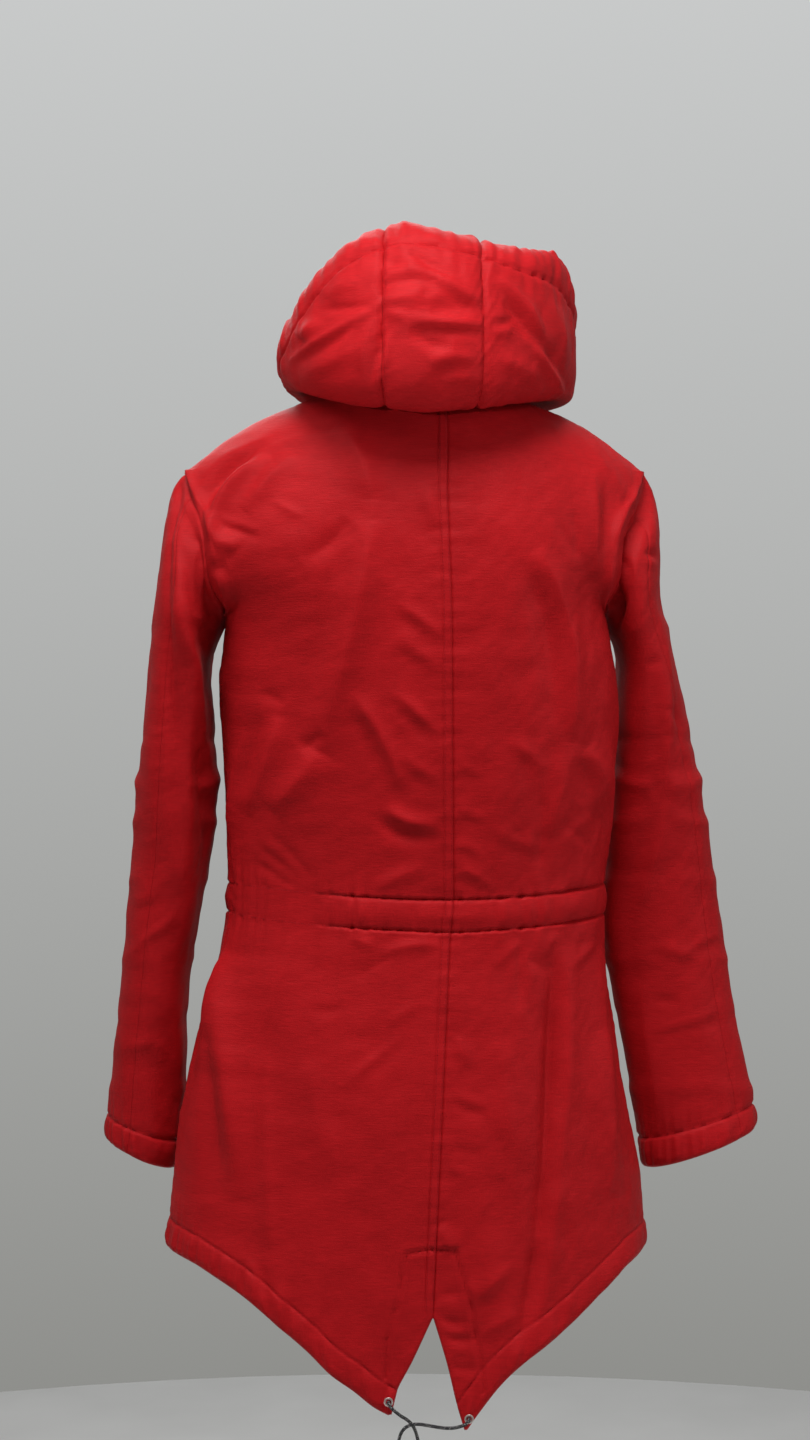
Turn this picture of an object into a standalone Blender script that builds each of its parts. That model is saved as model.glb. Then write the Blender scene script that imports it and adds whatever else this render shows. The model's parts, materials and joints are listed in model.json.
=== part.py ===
"""Hooded fishtail parka in its worn form: a hollow, lightly padded coat with a collapsed hood.

Metres, +Z up. The back of the coat faces +Y and the wearer's left is +X. The origin is the middle
of the neck base, at the height of the shoulder seams' neck ends.
Each piece of cloth is a wall: a grid of outer points, the same grid moved in by the cloth's
thickness, and the rims that join them. Grids run down the garment in rows, and round it from the
centre back over the wearer's left side to the centre front and back over the right side.
"""
import bpy
import bmesh
import numpy as np
from mathutils import Vector

# ---------------------------------------------------------------- driving dimensions
WALL = 0.0050            # shell, light padding and inner cloth together
SEAM_HALF_GAP = 0.00018  # each piece stops this far from the middle of a seam
MITRE_LIMIT = 1.5        # the longest corner of a wall, in wall thicknesses
SLANT_LIMIT = 0.15       # the flattest angle that a seam's gap is widened for, as a sine
RIM_SPLIT = (0.31, 0.53, 0.79)   # rims are split at the corner that lies further this way

FELL_WIDTH = 0.0090      # felled centre-back seam, from its ditch to its second stitch row
FELL_RISE = 0.0014
WAIST_PUFF = 0.0050      # how far the drawn waist casing stands out between its two rows
STITCH_SINK = 0.0012     # how far a row of stitches pulls the cloth in
HEM_PUFF = 0.0026
CUFF_PUFF = 0.0026
RIM_PUFF = 0.0030

ZIP_HALF_WIDTH = 0.0062  # the tape and teeth that show between the two fronts
ZIP_THICKNESS = 0.0016
ZIP_SETBACK = 0.0016     # the fronts' faces stand this far in front of the tape's face
FRONT_EDGE = 0.0068      # from the centre-front line to the edge of each front

SLIDER_HEIGHT = -0.0060  # the closed zip's slider, and the pull tab's hinge
SLIDER_HALF_WIDTH = 0.0042
SLIDER_DEPTH = 0.0030
BAR_TO_FACE = 0.0013     # from the middle of the pull's bar to the slider's face
BAR_RADIUS = 0.0006
BAIL_HALF_WIDTH = 0.0014
BAIL_HALF_HEIGHT = 0.0031
BAIL_REACH = 0.0023      # from the hinge to the front of the bail
BAIL_THICKNESS = 0.0010
BAIL_SUNK = 0.0003       # how deep its feet go into the slider
PULL_HALF_WIDTH = 0.0036
PULL_LENGTH = 0.0260
PULL_CORNER = 0.0018
PULL_WINDOW = 0.0052     # the slot that the bail goes through
WINDOW_PLAY = 0.0009     # room beside the bail in that slot
WINDOW_CORNER = 0.0006
GRIP_INSET = 0.0015      # the sunk panel near the pull's end, in from its sides
GRIP_FROM = 0.0020       # and where it starts and ends, up from the pull's end
GRIP_TO = 0.0110
GRIP_CORNER = 0.0010
GRIP_DEPTH = 0.0003
CUTTER_REACH = 0.0020    # how far the cutting blocks stand out of the pull
SLIDER_BELOW = 0.0066    # the slider's block, below and above the hinge
SLIDER_ABOVE = 0.0046
SLIDER_CORNER = 0.0014

SEAT_GAP = 0.0004        # from a small hard piece to what it sits on
SHARP_ANGLE = 0.9        # edges that fold more than this, in radians, stay crisp

EYELET_OUTER = 0.0040
EYELET_INNER = 0.0021
EYELET_RISE = 0.0011
CORD_DIAMETER = 0.0028
CORD_STEP = 0.0067       # between the cord's points

# Rows down the body: 0 neck, 1 shoulder tip, 2 underarm, 3 and 4 the waist casing's two rows,
# 5 the height of the vent's top, 6 the hem's stitch row, 7 the hem's edge.
SHOULDER_ROWS = (0.0, 0.2, 0.4, 0.6, 0.8)
ARMHOLE_ROWS = (1.0, 1.055, 1.11, 1.165, 1.22, 1.37, 1.52, 1.68, 1.84)
CHEST_ROWS = (2.0, 2.12, 2.25, 2.38, 2.51, 2.64, 2.76, 2.88)
WAIST_ROWS = (3.0, 3.33, 3.67)
SKIRT_ROWS = (4.0, 4.12, 4.24, 4.36, 4.48, 4.61, 4.74, 4.87)
HEM_ROWS = (5.0, 5.33, 5.67, 6.0, 6.5, 7.0)
BODY_ROWS = np.array(SHOULDER_ROWS + ARMHOLE_ROWS + CHEST_ROWS + WAIST_ROWS + SKIRT_ROWS + HEM_ROWS)
VENT_ROW = int(np.flatnonzero(BODY_ROWS == 5.0)[0])

FELL_STEPS = (0.0, 0.5, 1.0, 1.3)   # columns over the felled strip, in strip widths
BACK_STEPS = 12                     # columns from there to the side
FRONT_STEPS = 9


# ---------------------------------------------------------------- tables and curves
def table(columns, *rows):
    """Names a table's columns: a dictionary of arrays, one for each column."""
    return dict(zip(columns.split(), np.array(rows, dtype=float).T))


def curve(knots, values, at):
    """A smooth line through values at the knots that never swings past them.

    Each piece is a cubic whose end slopes are the harmonic mean of the slopes on both sides.
    """
    knots, values = np.asarray(knots, float), np.asarray(values, float)
    steps = np.diff(knots)
    slopes = np.diff(values) / steps
    ends = np.concatenate([slopes[:1], np.zeros(len(slopes) - 1), slopes[-1:]])
    same_way = slopes[:-1] * slopes[1:] > 0
    both = slopes[:-1] + slopes[1:]
    ends[1:-1][same_way] = (2 * slopes[:-1] * slopes[1:])[same_way] / both[same_way]
    at = np.clip(at, knots[0], knots[-1])
    piece = np.clip(np.searchsorted(knots, at, side="right") - 1, 0, len(steps) - 1)
    width = steps[piece]
    t = (at - knots[piece]) / width
    rise = values[piece + 1] - values[piece]
    bend = (1 - t) * (ends[piece] * width - rise) + t * (rise - ends[piece + 1] * width)
    return values[piece] + t * rise + t * (1 - t) * bend


def line(places, key, at):
    """The x, y, z points of a table's line at the given places of its key column."""
    return np.stack([curve(places[key], places[axis], at) for axis in "xyz"], axis=-1)


def ease(t):
    """Zero before 0, one after 1, level at both ends."""
    t = np.clip(t, 0.0, 1.0)
    return t * t * (3 - 2 * t)


def mix(a, b, t):
    return a + (b - a) * t


# ---------------------------------------------------------------- seam lines of the body
CENTRE_BACK = table(
    "row    x       y       z",
    (0.0, -0.0270, 0.0780, -0.0140),
    (0.5, -0.0275, 0.0920, -0.0480),
    (1.0, -0.0275, 0.1030, -0.0850),
    (1.5, -0.0290, 0.1130, -0.1400),
    (2.0, -0.0310, 0.1170, -0.2000),
    (2.5, -0.0317, 0.1110, -0.3200),
    (3.0, -0.0325, 0.0980, -0.4435),
    (4.0, -0.0300, 0.0985, -0.4716),
    (4.5, -0.0225, 0.1160, -0.6300),
    (5.0, -0.0147, 0.1260, -0.7940))

# Below the vent's top the two backs part, and each has its own edge down to its tail tip.
VENT_LEFT = table(
    "row    x       y       z",
    (5.0, -0.0147, 0.1260, -0.7940),
    (5.5, 0.0020, 0.1275, -0.8290),
    (6.0, 0.0150, 0.1285, -0.8540),
    (7.0, 0.0207, 0.1290, -0.8765))

VENT_RIGHT = table(
    "row    x       y       z",
    (5.0, -0.0147, 0.1260, -0.7940),
    (5.5, -0.0265, 0.1275, -0.8330),
    (6.0, -0.0345, 0.1285, -0.8660),
    (7.0, -0.0418, 0.1290, -0.8900))

CENTRE_FRONT = table(
    "row    x       y       z",
    (0.0, 0.0180, -0.0880, -0.0580),
    (1.0, 0.0180, -0.1080, -0.1150),
    (2.0, 0.0180, -0.1240, -0.2050),
    (2.5, 0.0180, -0.1210, -0.3200),
    (3.0, 0.0175, -0.1030, -0.4380),
    (4.0, 0.0170, -0.1030, -0.4640),
    (4.5, 0.0165, -0.1150, -0.5800),
    (5.0, 0.0160, -0.1220, -0.6900),
    (6.0, 0.0160, -0.1240, -0.7260),
    (7.0, 0.0160, -0.1250, -0.7520))

# turn: the way the cloth heads at the seam, from 0 outward to 90 straight to the front.
SHOULDER = table(
    "row    x       y       z      turn",
    (0.0, 0.0790, 0.0020, 0.0010, 90),
    (0.2, 0.1050, 0.0025, -0.0085, 89),
    (0.4, 0.1300, 0.0030, -0.0190, 88),
    (0.7, 0.1690, 0.0035, -0.0405, 84),
    (1.0, 0.2060, 0.0040, -0.0695, 76))

ARMHOLE_BACK = table(
    "row    x       y       z      turn",
    (1.00, 0.2060, 0.0040, -0.0695, 76),
    (1.22, 0.1985, 0.0400, -0.0940, 52),
    (1.37, 0.1900, 0.0620, -0.1120, 42),
    (1.49, 0.1840, 0.0740, -0.1320, 36),
    (1.61, 0.1815, 0.0770, -0.1550, 34),
    (1.70, 0.1775, 0.0720, -0.1730, 40),
    (1.84, 0.1690, 0.0520, -0.1900, 68),
    (2.00, 0.1630, 0.0120, -0.2000, 112))

ARMHOLE_FRONT = table(
    "row    x       y       z      turn",
    (1.00, 0.2060, 0.0040, -0.0695, 104),
    (1.15, 0.1990, -0.0220, -0.0860, 60),
    (1.30, 0.1880, -0.0450, -0.1060, 44),
    (1.44, 0.1800, -0.0600, -0.1300, 36),
    (1.55, 0.1750, -0.0640, -0.1520, 36),
    (1.65, 0.1720, -0.0570, -0.1720, 42),
    (1.80, 0.1670, -0.0340, -0.1900, 62),
    (2.00, 0.1630, 0.0120, -0.2000, 68))

SIDE_LEFT = table(
    "row    x       y       z      turn",
    (2.00, 0.1630, 0.0120, -0.2000, 112),
    (2.12, 0.1690, 0.0155, -0.2280, 102),
    (2.25, 0.1745, 0.0185, -0.2560, 88),
    (2.38, 0.1710, 0.0210, -0.2860, 80),
    (2.64, 0.1670, 0.0240, -0.3480, 76),
    (3.00, 0.1615, 0.0280, -0.4340, 70),
    (4.00, 0.1620, 0.0280, -0.4600, 70),
    (4.27, 0.1790, 0.0260, -0.5230, 80),
    (4.50, 0.1950, 0.0240, -0.5760, 84),
    (4.74, 0.2070, 0.0220, -0.6300, 86),
    (5.00, 0.2140, 0.0200, -0.6850, 88),
    (6.00, 0.2180, 0.0200, -0.7280, 88),
    (7.00, 0.2205, 0.0200, -0.7525, 88))

SIDE_RIGHT = table(
    "row    x       y       z      turn",
    (2.00, 0.1630, 0.0120, -0.2000, 112),
    (2.12, 0.1655, 0.0095, -0.2280, 122),
    (2.30, 0.1690, 0.0060, -0.2700, 126),
    (2.60, 0.1680, 0.0020, -0.3450, 118),
    (3.00, 0.1640, -0.0020, -0.4330, 112),
    (4.00, 0.1645, -0.0020, -0.4620, 110),
    (4.27, 0.1690, 0.0000, -0.5230, 100),
    (4.50, 0.1780, 0.0020, -0.5760, 94),
    (4.74, 0.1890, 0.0040, -0.6300, 94),
    (5.00, 0.1995, 0.0060, -0.6900, 94),
    (6.00, 0.2030, 0.0060, -0.7330, 94),
    (7.00, 0.2045, 0.0060, -0.7570, 94))

# The coat sits turned a little on its wearer: its right side lies further to the front.
RIGHT_SIDE_BACK = -0.0110

# The fishtail: how much of the drop from side to tail tip is left, across from tip to side.
TAIL_LEFT = table(
    "across drop",
    (0.00, 1.000),
    (0.07, 0.940),
    (0.16, 0.830),
    (0.25, 0.735),
    (0.36, 0.570),
    (0.49, 0.405),
    (0.62, 0.245),
    (0.79, 0.100),
    (0.87, 0.048),
    (1.00, 0.000))

TAIL_RIGHT = table(
    "across drop",
    (0.00, 1.000),
    (0.07, 0.880),
    (0.19, 0.700),
    (0.31, 0.570),
    (0.43, 0.470),
    (0.54, 0.375),
    (0.64, 0.280),
    (0.73, 0.190),
    (0.81, 0.110),
    (0.88, 0.045),
    (1.00, 0.000))

CENTRE_PULL = 0.52   # how far a row runs straight out from the centre, as a share of its width
SIDE_PULL = 0.56     # the same at the side, as a share of its depth


def side_line(side, face, rows):
    """The side end of each row: shoulder seam, then armhole, then side seam, with its turn."""
    armhole = ARMHOLE_BACK if face > 0 else ARMHOLE_FRONT
    seam = SIDE_LEFT if side > 0 else SIDE_RIGHT
    stretches = ((SHOULDER, rows < 1), (armhole, (rows >= 1) & (rows < 2)), (seam, rows >= 2))
    points = np.zeros((len(rows), 3))
    turn = np.zeros(len(rows))
    for places, here in stretches:
        points[here] = line(places, "row", rows[here])
        turn[here] = curve(places["row"], places["turn"], rows[here])
    on_seam = (rows < 1) | (rows >= 2)
    if face < 0:
        turn[on_seam] = 180 - turn[on_seam]
    if side < 0:
        points[:, 1] += RIGHT_SIDE_BACK * ease(rows / 1.0)
        points[:, 0] *= -1
    return points, np.radians(turn)


def centre_line(side, face, rows):
    """The centre end of each row, at the back or the front."""
    if face < 0:
        points = line(CENTRE_FRONT, "row", rows)
        points[:, 0] += side * FRONT_EDGE
        return points
    vent = VENT_LEFT if side > 0 else VENT_RIGHT
    above = line(CENTRE_BACK, "row", rows)
    below = line(vent, "row", rows)
    return np.where((rows <= 5)[:, None], above, below)


def columns_across(side, face, width):
    """Places across a row from 0 at the centre to 1 at the side, for rows of the given widths."""
    if face < 0:
        return np.tile(np.linspace(0, 1, FRONT_STEPS + 1), (len(width), 1))
    strip = np.outer(FELL_WIDTH / (3 * CENTRE_PULL * width), FELL_STEPS)
    rest = np.linspace(0, 1, BACK_STEPS + 1)[1:]
    return np.hstack([strip, strip[:, -1:] + (1 - strip[:, -1:]) * rest])


def quarter(side, face, rows):
    """One quarter of the body as a grid of points, in rows from its centre to its side.

    Seen from above each row is a Bezier curve from the centre line, which it leaves straight
    outward, to the side line, where it heads as the table's turn says. Below the waist the back
    rows drop towards the centre as the fishtail does.
    """
    centre = centre_line(side, face, rows)
    edge, turn = side_line(side, face, rows)
    width = np.abs(edge[:, 0] - centre[:, 0])
    depth = np.abs(edge[:, 1] - centre[:, 1])
    u = columns_across(side, face, width)
    heading = np.stack([side * np.cos(turn), -face * np.sin(turn)], axis=-1)
    reach = SIDE_PULL * depth / np.maximum(np.sin(turn), 0.5)
    leave = centre[:, :2] + np.stack([side * CENTRE_PULL * width, 0 * width], axis=-1)
    arrive = edge[:, :2] - heading * reach[:, None]
    t = u[:, :, None]
    flat = ((1 - t) ** 3 * centre[:, None, :2] + 3 * (1 - t) ** 2 * t * leave[:, None]
            + 3 * (1 - t) * t ** 2 * arrive[:, None] + t ** 3 * edge[:, None, :2])
    across = np.abs(flat[:, :, 0] - centre[:, None, 0]) / width[:, None]
    drop = 1 - ease(u)
    if face > 0:
        shape = TAIL_LEFT if side > 0 else TAIL_RIGHT
        tail = curve(shape["across"], shape["drop"], across)
        drop = mix(drop, tail, ease(rows - 4)[:, None])
    height = edge[:, None, 2] + (centre[:, None, 2] - edge[:, None, 2]) * drop
    return np.concatenate([flat, height[:, :, None]], axis=-1)


# ---------------------------------------------------------------- sleeves
# From the armhole (0) to the cuff's edge (1): the outer and inner ends of each ring, the y of
# its middle and half its depth.
SLEEVE_LEFT = table(
    "at   x_out   z_out    x_in    z_in    y_mid  depth",
    (0.00, 0.2060, -0.0695, 0.1630, -0.2000, 0.010, 0.070),
    (0.06, 0.2165, -0.0860, 0.1690, -0.2070, 0.008, 0.072),
    (0.13, 0.2225, -0.1120, 0.1735, -0.2155, 0.006, 0.071),
    (0.22, 0.2275, -0.1600, 0.1785, -0.2270, 0.004, 0.069),
    (0.32, 0.2350, -0.2220, 0.1835, -0.2460, 0.000, 0.065),
    (0.42, 0.2420, -0.2900, 0.1800, -0.3000, -0.004, 0.062),
    (0.52, 0.2485, -0.3450, 0.1765, -0.3500, -0.008, 0.059),
    (0.60, 0.2530, -0.4000, 0.1810, -0.4020, -0.012, 0.056),
    (0.70, 0.2585, -0.4550, 0.1925, -0.4600, -0.017, 0.053),
    (0.80, 0.2645, -0.5250, 0.2035, -0.5320, -0.023, 0.051),
    (0.90, 0.2730, -0.5980, 0.2075, -0.6120, -0.029, 0.049),
    (0.96, 0.2775, -0.6450, 0.2110, -0.6680, -0.032, 0.048),
    (1.00, 0.2790, -0.6670, 0.2150, -0.6940, -0.033, 0.047))

SLEEVE_RIGHT = table(
    "at   x_out   z_out    x_in    z_in    y_mid  depth",
    (0.00, 0.2060, -0.0665, 0.1630, -0.2000, -0.001, 0.070),
    (0.06, 0.2135, -0.0840, 0.1690, -0.2065, -0.004, 0.071),
    (0.13, 0.2180, -0.1120, 0.1740, -0.2145, -0.007, 0.069),
    (0.22, 0.2185, -0.1650, 0.1785, -0.2270, -0.012, 0.066),
    (0.32, 0.2305, -0.2250, 0.1815, -0.2460, -0.017, 0.062),
    (0.42, 0.2455, -0.2900, 0.1795, -0.3000, -0.022, 0.057),
    (0.52, 0.2565, -0.3450, 0.1775, -0.3500, -0.026, 0.052),
    (0.60, 0.2665, -0.4000, 0.1725, -0.4020, -0.029, 0.047),
    (0.70, 0.2750, -0.4550, 0.1720, -0.4600, -0.031, 0.043),
    (0.80, 0.2845, -0.5200, 0.1795, -0.5320, -0.033, 0.041),
    (0.90, 0.2980, -0.5930, 0.1930, -0.6120, -0.034, 0.040),
    (0.96, 0.3065, -0.6370, 0.2025, -0.6680, -0.035, 0.041),
    (1.00, 0.3085, -0.6590, 0.2090, -0.6946, -0.035, 0.042))

SLEEVE_STATIONS = np.array((0, 0.03, 0.06, 0.095, 0.135, 0.18, 0.24, 0.30, 0.36, 0.42, 0.48, 0.54,
                            0.60, 0.66, 0.72, 0.78, 0.84, 0.90, 0.96, 0.98, 1.0))
HEAD_ENDS = 0.22                     # where a ring no longer follows the armhole's shape
SLEEVE_TWIST = {1: 0.10, -1: -0.55}  # how far each sleeve's seams have turned at the cuff
SLEEVE_SEAMS = (4, 14)               # ring columns of the sleeve's two seams


def armhole_ring(side):
    """The armhole as a closed ring that starts and ends at the shoulder tip.

    Seen from above it runs the same way round as the body's grids do.
    """
    rows = np.array(ARMHOLE_ROWS + (2.0,))
    back = side_line(side, 1, rows)[0]
    front = side_line(side, -1, rows)[0]
    ring = np.concatenate([back, front[-2::-1]])
    return ring[::-1] if side > 0 else ring


def sleeve_grid(side, stations):
    """A sleeve as a grid: one ring of points for each station down the arm.

    A ring is an ellipse between the table's outer and inner ends, tilted as they say. Near the
    armhole it follows the armhole's own shape.
    """
    sizes = SLEEVE_LEFT if side > 0 else SLEEVE_RIGHT
    ring = armhole_ring(side)
    x_out, z_out, x_in, z_in, y_mid, depth = (
        curve(sizes["at"], sizes[name], stations)[:, None]
        for name in ("x_out", "z_out", "x_in", "z_in", "y_mid", "depth"))
    turn = np.linspace(0, 2 * np.pi, len(ring)) + SLEEVE_TWIST[side] * ease(stations / 0.6)[:, None]
    out, back = np.cos(turn), -side * np.sin(turn)
    x = side * ((x_out + x_in) / 2 + (x_out - x_in) / 2 * out)
    z = (z_out + z_in) / 2 + (z_out - z_in) / 2 * out
    y = y_mid + depth * back
    free = np.stack([x, y, z], axis=-1)
    kept = 1 - ease(stations / HEAD_ENDS)[:, None, None]
    return free + kept * (ring - free[0])[None]


# ---------------------------------------------------------------- hood
# The hood lies down behind the neck as an open bag. Each ring goes round it, from the neck seam
# over a low inner ridge, down to the bag's bottom, out and up the back to the turned rim.
HOOD = table(
    "back_y  back_z  left_x  left_z  right_x  right_z  front_y  front_z",
    (0.0780, -0.0140, 0.0790, 0.0010, 0.0790, 0.0010, 0.0880, -0.0580),
    (0.0830, 0.0040, 0.0830, 0.0120, 0.0830, 0.0130, 0.0895, -0.0500),
    (0.0885, 0.0140, 0.0880, 0.0180, 0.0890, 0.0200, 0.0910, -0.0420),
    (0.0950, 0.0050, 0.0930, 0.0130, 0.0950, 0.0140, 0.0925, -0.0340),
    (0.1010, -0.0140, 0.0970, 0.0040, 0.1010, 0.0040, 0.0940, -0.0270),
    (0.1120, -0.0270, 0.1030, 0.0000, 0.1120, -0.0020, 0.0950, -0.0210),
    (0.1290, -0.0310, 0.1120, 0.0020, 0.1270, -0.0080, 0.0960, -0.0150),
    (0.1460, -0.0170, 0.1190, 0.0090, 0.1390, -0.0040, 0.0965, -0.0100),
    (0.1560, 0.0130, 0.1210, 0.0190, 0.1440, 0.0160, 0.0965, -0.0050),
    (0.1570, 0.0470, 0.1205, 0.0280, 0.1435, 0.0400, 0.0960, 0.0000),
    (0.1500, 0.0810, 0.1190, 0.0350, 0.1410, 0.0620, 0.0950, 0.0040),
    (0.1350, 0.1110, 0.1170, 0.0410, 0.1380, 0.0810, 0.0935, 0.0080),
    (0.1150, 0.1280, 0.1155, 0.0470, 0.1370, 0.0860, 0.0915, 0.0110),
    (0.0980, 0.1370, 0.1125, 0.0500, 0.1335, 0.0910, 0.0895, 0.0120))
HOOD_RINGS = np.array((0, 1, 2, 3, 4, 5, 6, 7, 8, 9, 10, 11, 12, 12.5, 13))   # neck to rim
HOOD_TURN = 0.27          # how far the bag has turned back from the neck, at the back
HOOD_HALF_PANEL = 0.0265  # from the neck's centre back to each side seam of the hood
FRONT_SPREAD = 0.045      # the hood's front edges stay straight over this much of its front


def hood_grid(neck, rings):
    """The hood as a grid: a ring for each row, with a column above each point of the neck."""
    place = np.arange(len(HOOD["back_y"]))
    size = {name: curve(place, HOOD[name], rings)[:, None] for name in HOOD}
    wide = HOOD["left_x"][0]
    long = np.where(neck[:, 1] > 0, HOOD["back_y"][0], HOOD["front_y"][0])
    angle = np.arctan2(neck[:, 0] / wide, neck[:, 1] / long)
    angle = angle + HOOD_TURN * (1 + np.cos(angle)) / 2 * ease(rings / 6)[:, None]
    sine, cosine = np.sin(angle), np.cos(angle)
    x = np.where(sine > 0, size["left_x"], size["right_x"]) * sine
    from_edge = np.minimum(np.abs(neck[:, 0] - neck[0, 0]), np.abs(neck[:, 0] - neck[-1, 0]))
    at_front = np.where(neck[:, 1] > 0, 1.0, ease(from_edge / FRONT_SPREAD))
    x = neck[:, 0] + (x - neck[:, 0]) * at_front
    y = np.where(cosine > 0, size["back_y"], size["front_y"]) * cosine
    sides = np.where(sine > 0, size["left_z"], size["right_z"]) * sine ** 2
    ends = np.where(cosine > 0, size["back_z"], size["front_z"]) * cosine ** 2
    rising = np.stack([x, y, sides + ends], axis=-1)
    kept = ease(rings / 3)[:, None, None]
    return rising + (1 - kept) * (neck - rising[0])[None]


# ---------------------------------------------------------------- folds and channels
# Large folds, as seen from behind: from one point through a middle to the other, with height
# (less than zero is a trough) and half width.
BACK_FOLDS = table(
    "x0      z0      x1      z1      x2      z2      height  width",
    (0.039, -0.140, 0.060, -0.260, 0.134, -0.358, 0.0050, 0.016),
    (0.170, -0.124, 0.155, -0.132, 0.134, -0.136, -0.0030, 0.010),
    (0.182, -0.100, 0.174, -0.125, 0.166, -0.170, 0.0040, 0.011),
    (0.099, -0.432, 0.118, -0.410, 0.148, -0.380, -0.0050, 0.009),
    (0.115, -0.440, 0.125, -0.425, 0.150, -0.410, 0.0035, 0.008),
    (-0.123, -0.432, -0.115, -0.405, -0.106, -0.372, -0.0040, 0.009),
    (-0.140, -0.432, -0.137, -0.410, -0.132, -0.385, 0.0030, 0.008),
    (-0.159, -0.120, -0.156, -0.170, -0.148, -0.225, -0.0035, 0.011),
    (-0.060, -0.190, -0.095, -0.240, -0.120, -0.300, 0.0025, 0.016),
    (-0.121, -0.488, -0.115, -0.620, -0.088, -0.800, -0.0050, 0.011),
    (-0.145, -0.490, -0.150, -0.600, -0.150, -0.740, 0.0040, 0.018),
    (0.128, -0.490, 0.145, -0.600, 0.172, -0.720, 0.0045, 0.022),
    (0.050, -0.500, 0.055, -0.590, 0.062, -0.690, -0.0035, 0.016),
    (-0.055, -0.500, -0.050, -0.590, -0.052, -0.680, 0.0025, 0.016),
    (0.045, -0.475, 0.035, -0.486, 0.000, -0.490, -0.0030, 0.008))

FRONT_FOLDS = table(
    "x0      z0      x1      z1      x2      z2      height  width",
    (0.135, -0.170, 0.120, -0.260, 0.085, -0.350, 0.0040, 0.018),
    (-0.130, -0.160, -0.105, -0.240, -0.085, -0.330, 0.0040, 0.018),
    (0.120, -0.430, 0.128, -0.410, 0.135, -0.380, -0.0040, 0.009),
    (0.090, -0.430, 0.088, -0.405, 0.080, -0.370, 0.0035, 0.009),
    (-0.085, -0.430, -0.090, -0.405, -0.098, -0.375, -0.0040, 0.009),
    (-0.130, -0.480, -0.140, -0.590, -0.150, -0.720, 0.0040, 0.020),
    (0.080, -0.480, 0.088, -0.590, 0.096, -0.720, -0.0040, 0.016),
    (0.130, -0.490, 0.145, -0.600, 0.160, -0.720, 0.0040, 0.020))

SLEEVE_FOLDS = table(
    "x0      z0      x1      z1      x2      z2      height  width",
    (0.252, -0.480, 0.232, -0.470, 0.208, -0.440, -0.0035, 0.010),
    (0.248, -0.380, 0.225, -0.360, 0.195, -0.372, 0.0035, 0.013),
    (0.215, -0.230, 0.200, -0.260, 0.192, -0.320, -0.0040, 0.010),
    (-0.275, -0.480, -0.250, -0.472, -0.225, -0.488, -0.0040, 0.010),
    (-0.270, -0.540, -0.240, -0.552, -0.210, -0.556, -0.0035, 0.010),
    (-0.205, -0.155, -0.212, -0.160, -0.218, -0.158, -0.0040, 0.009),
    (-0.232, -0.300, -0.215, -0.340, -0.205, -0.400, 0.0035, 0.013))

HOOD_FOLDS = table(
    "x0      z0      x1      z1      x2      z2      height  width",
    (0.112, 0.020, 0.075, 0.028, 0.036, 0.050, -0.0060, 0.010),
    (0.090, 0.058, 0.070, 0.054, 0.044, 0.053, -0.0035, 0.008),
    (0.036, 0.055, 0.012, 0.040, -0.004, 0.012, -0.0040, 0.010),
    (-0.006, 0.040, -0.040, 0.041, -0.086, 0.044, -0.0055, 0.009),
    (-0.066, 0.066, -0.104, 0.048, -0.132, -0.002, -0.0065, 0.010),
    (-0.100, 0.080, -0.118, 0.066, -0.128, 0.040, 0.0045, 0.012),
    (0.020, 0.085, -0.015, 0.074, -0.045, 0.080, 0.0040, 0.012))

FOLDS_OF = {"back": (BACK_FOLDS, 1), "front": (FRONT_FOLDS, -1),
            "sleeve": (SLEEVE_FOLDS, 1), "hood": (HOOD_FOLDS, 1)}
ZIP_TOP_ROW = 2   # the zip stops just under the hood's rim casing

# The drawcord's route, from the left tip's eyelet down through its loop to the right tip's. Its
# two ends move in y to the cloth that they come out of.
CORD_ROUTE = table(
    "x      y       z",
    (0.0228, 0.1300, -0.8625),
    (0.0227, 0.1365, -0.8630),
    (0.0195, 0.1393, -0.8665),
    (0.0130, 0.1388, -0.8720),
    (0.0068, 0.1368, -0.8765),
    (0.0025, 0.1352, -0.8815),
    (-0.0005, 0.1345, -0.8885),
    (-0.0025, 0.1345, -0.8990),
    (-0.0010, 0.1355, -0.9095),
    (0.0055, 0.1370, -0.9145),
    (0.0122, 0.1385, -0.9095),
    (0.0146, 0.1395, -0.9000),
    (0.0136, 0.1404, -0.8905),
    (0.0105, 0.1412, -0.8835),
    (0.0050, 0.1415, -0.8795),
    (-0.0020, 0.1410, -0.8787),
    (-0.0115, 0.1400, -0.8803),
    (-0.0225, 0.1395, -0.8822),
    (-0.0320, 0.1397, -0.8822),
    (-0.0405, 0.1395, -0.8800),
    (-0.0445, 0.1368, -0.8775),
    (-0.0450, 0.1300, -0.8770))

FOLD_STEPS = 12   # points tried along a fold to find its nearest one


def fold_height(points, facing, folds, face):
    """How far folds move each point out, for the side of the garment that faces the viewer.

    A fold is a bell across and a half sine along, and it fades where the cloth turns away.
    """
    lift = np.zeros(points.shape[:-1])
    along = np.linspace(0, 1, FOLD_STEPS)
    for x0, z0, x1, z1, x2, z2, height, width in zip(*folds.values()):
        bx = (1 - along) ** 2 * x0 + 2 * along * (1 - along) * x1 + along ** 2 * x2
        bz = (1 - along) ** 2 * z0 + 2 * along * (1 - along) * z1 + along ** 2 * z2
        away = (points[..., 0, None] - bx) ** 2 + (points[..., 2, None] - bz) ** 2
        near = away.argmin(axis=-1)
        bell = np.exp(-away.min(axis=-1) / width ** 2)
        fade = np.sqrt(np.maximum(np.sin(np.pi * along), 0.0))[near]
        lift += height * bell * fade
    return lift * ease((face * facing[..., 1] - 0.35) / 0.4)


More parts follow.
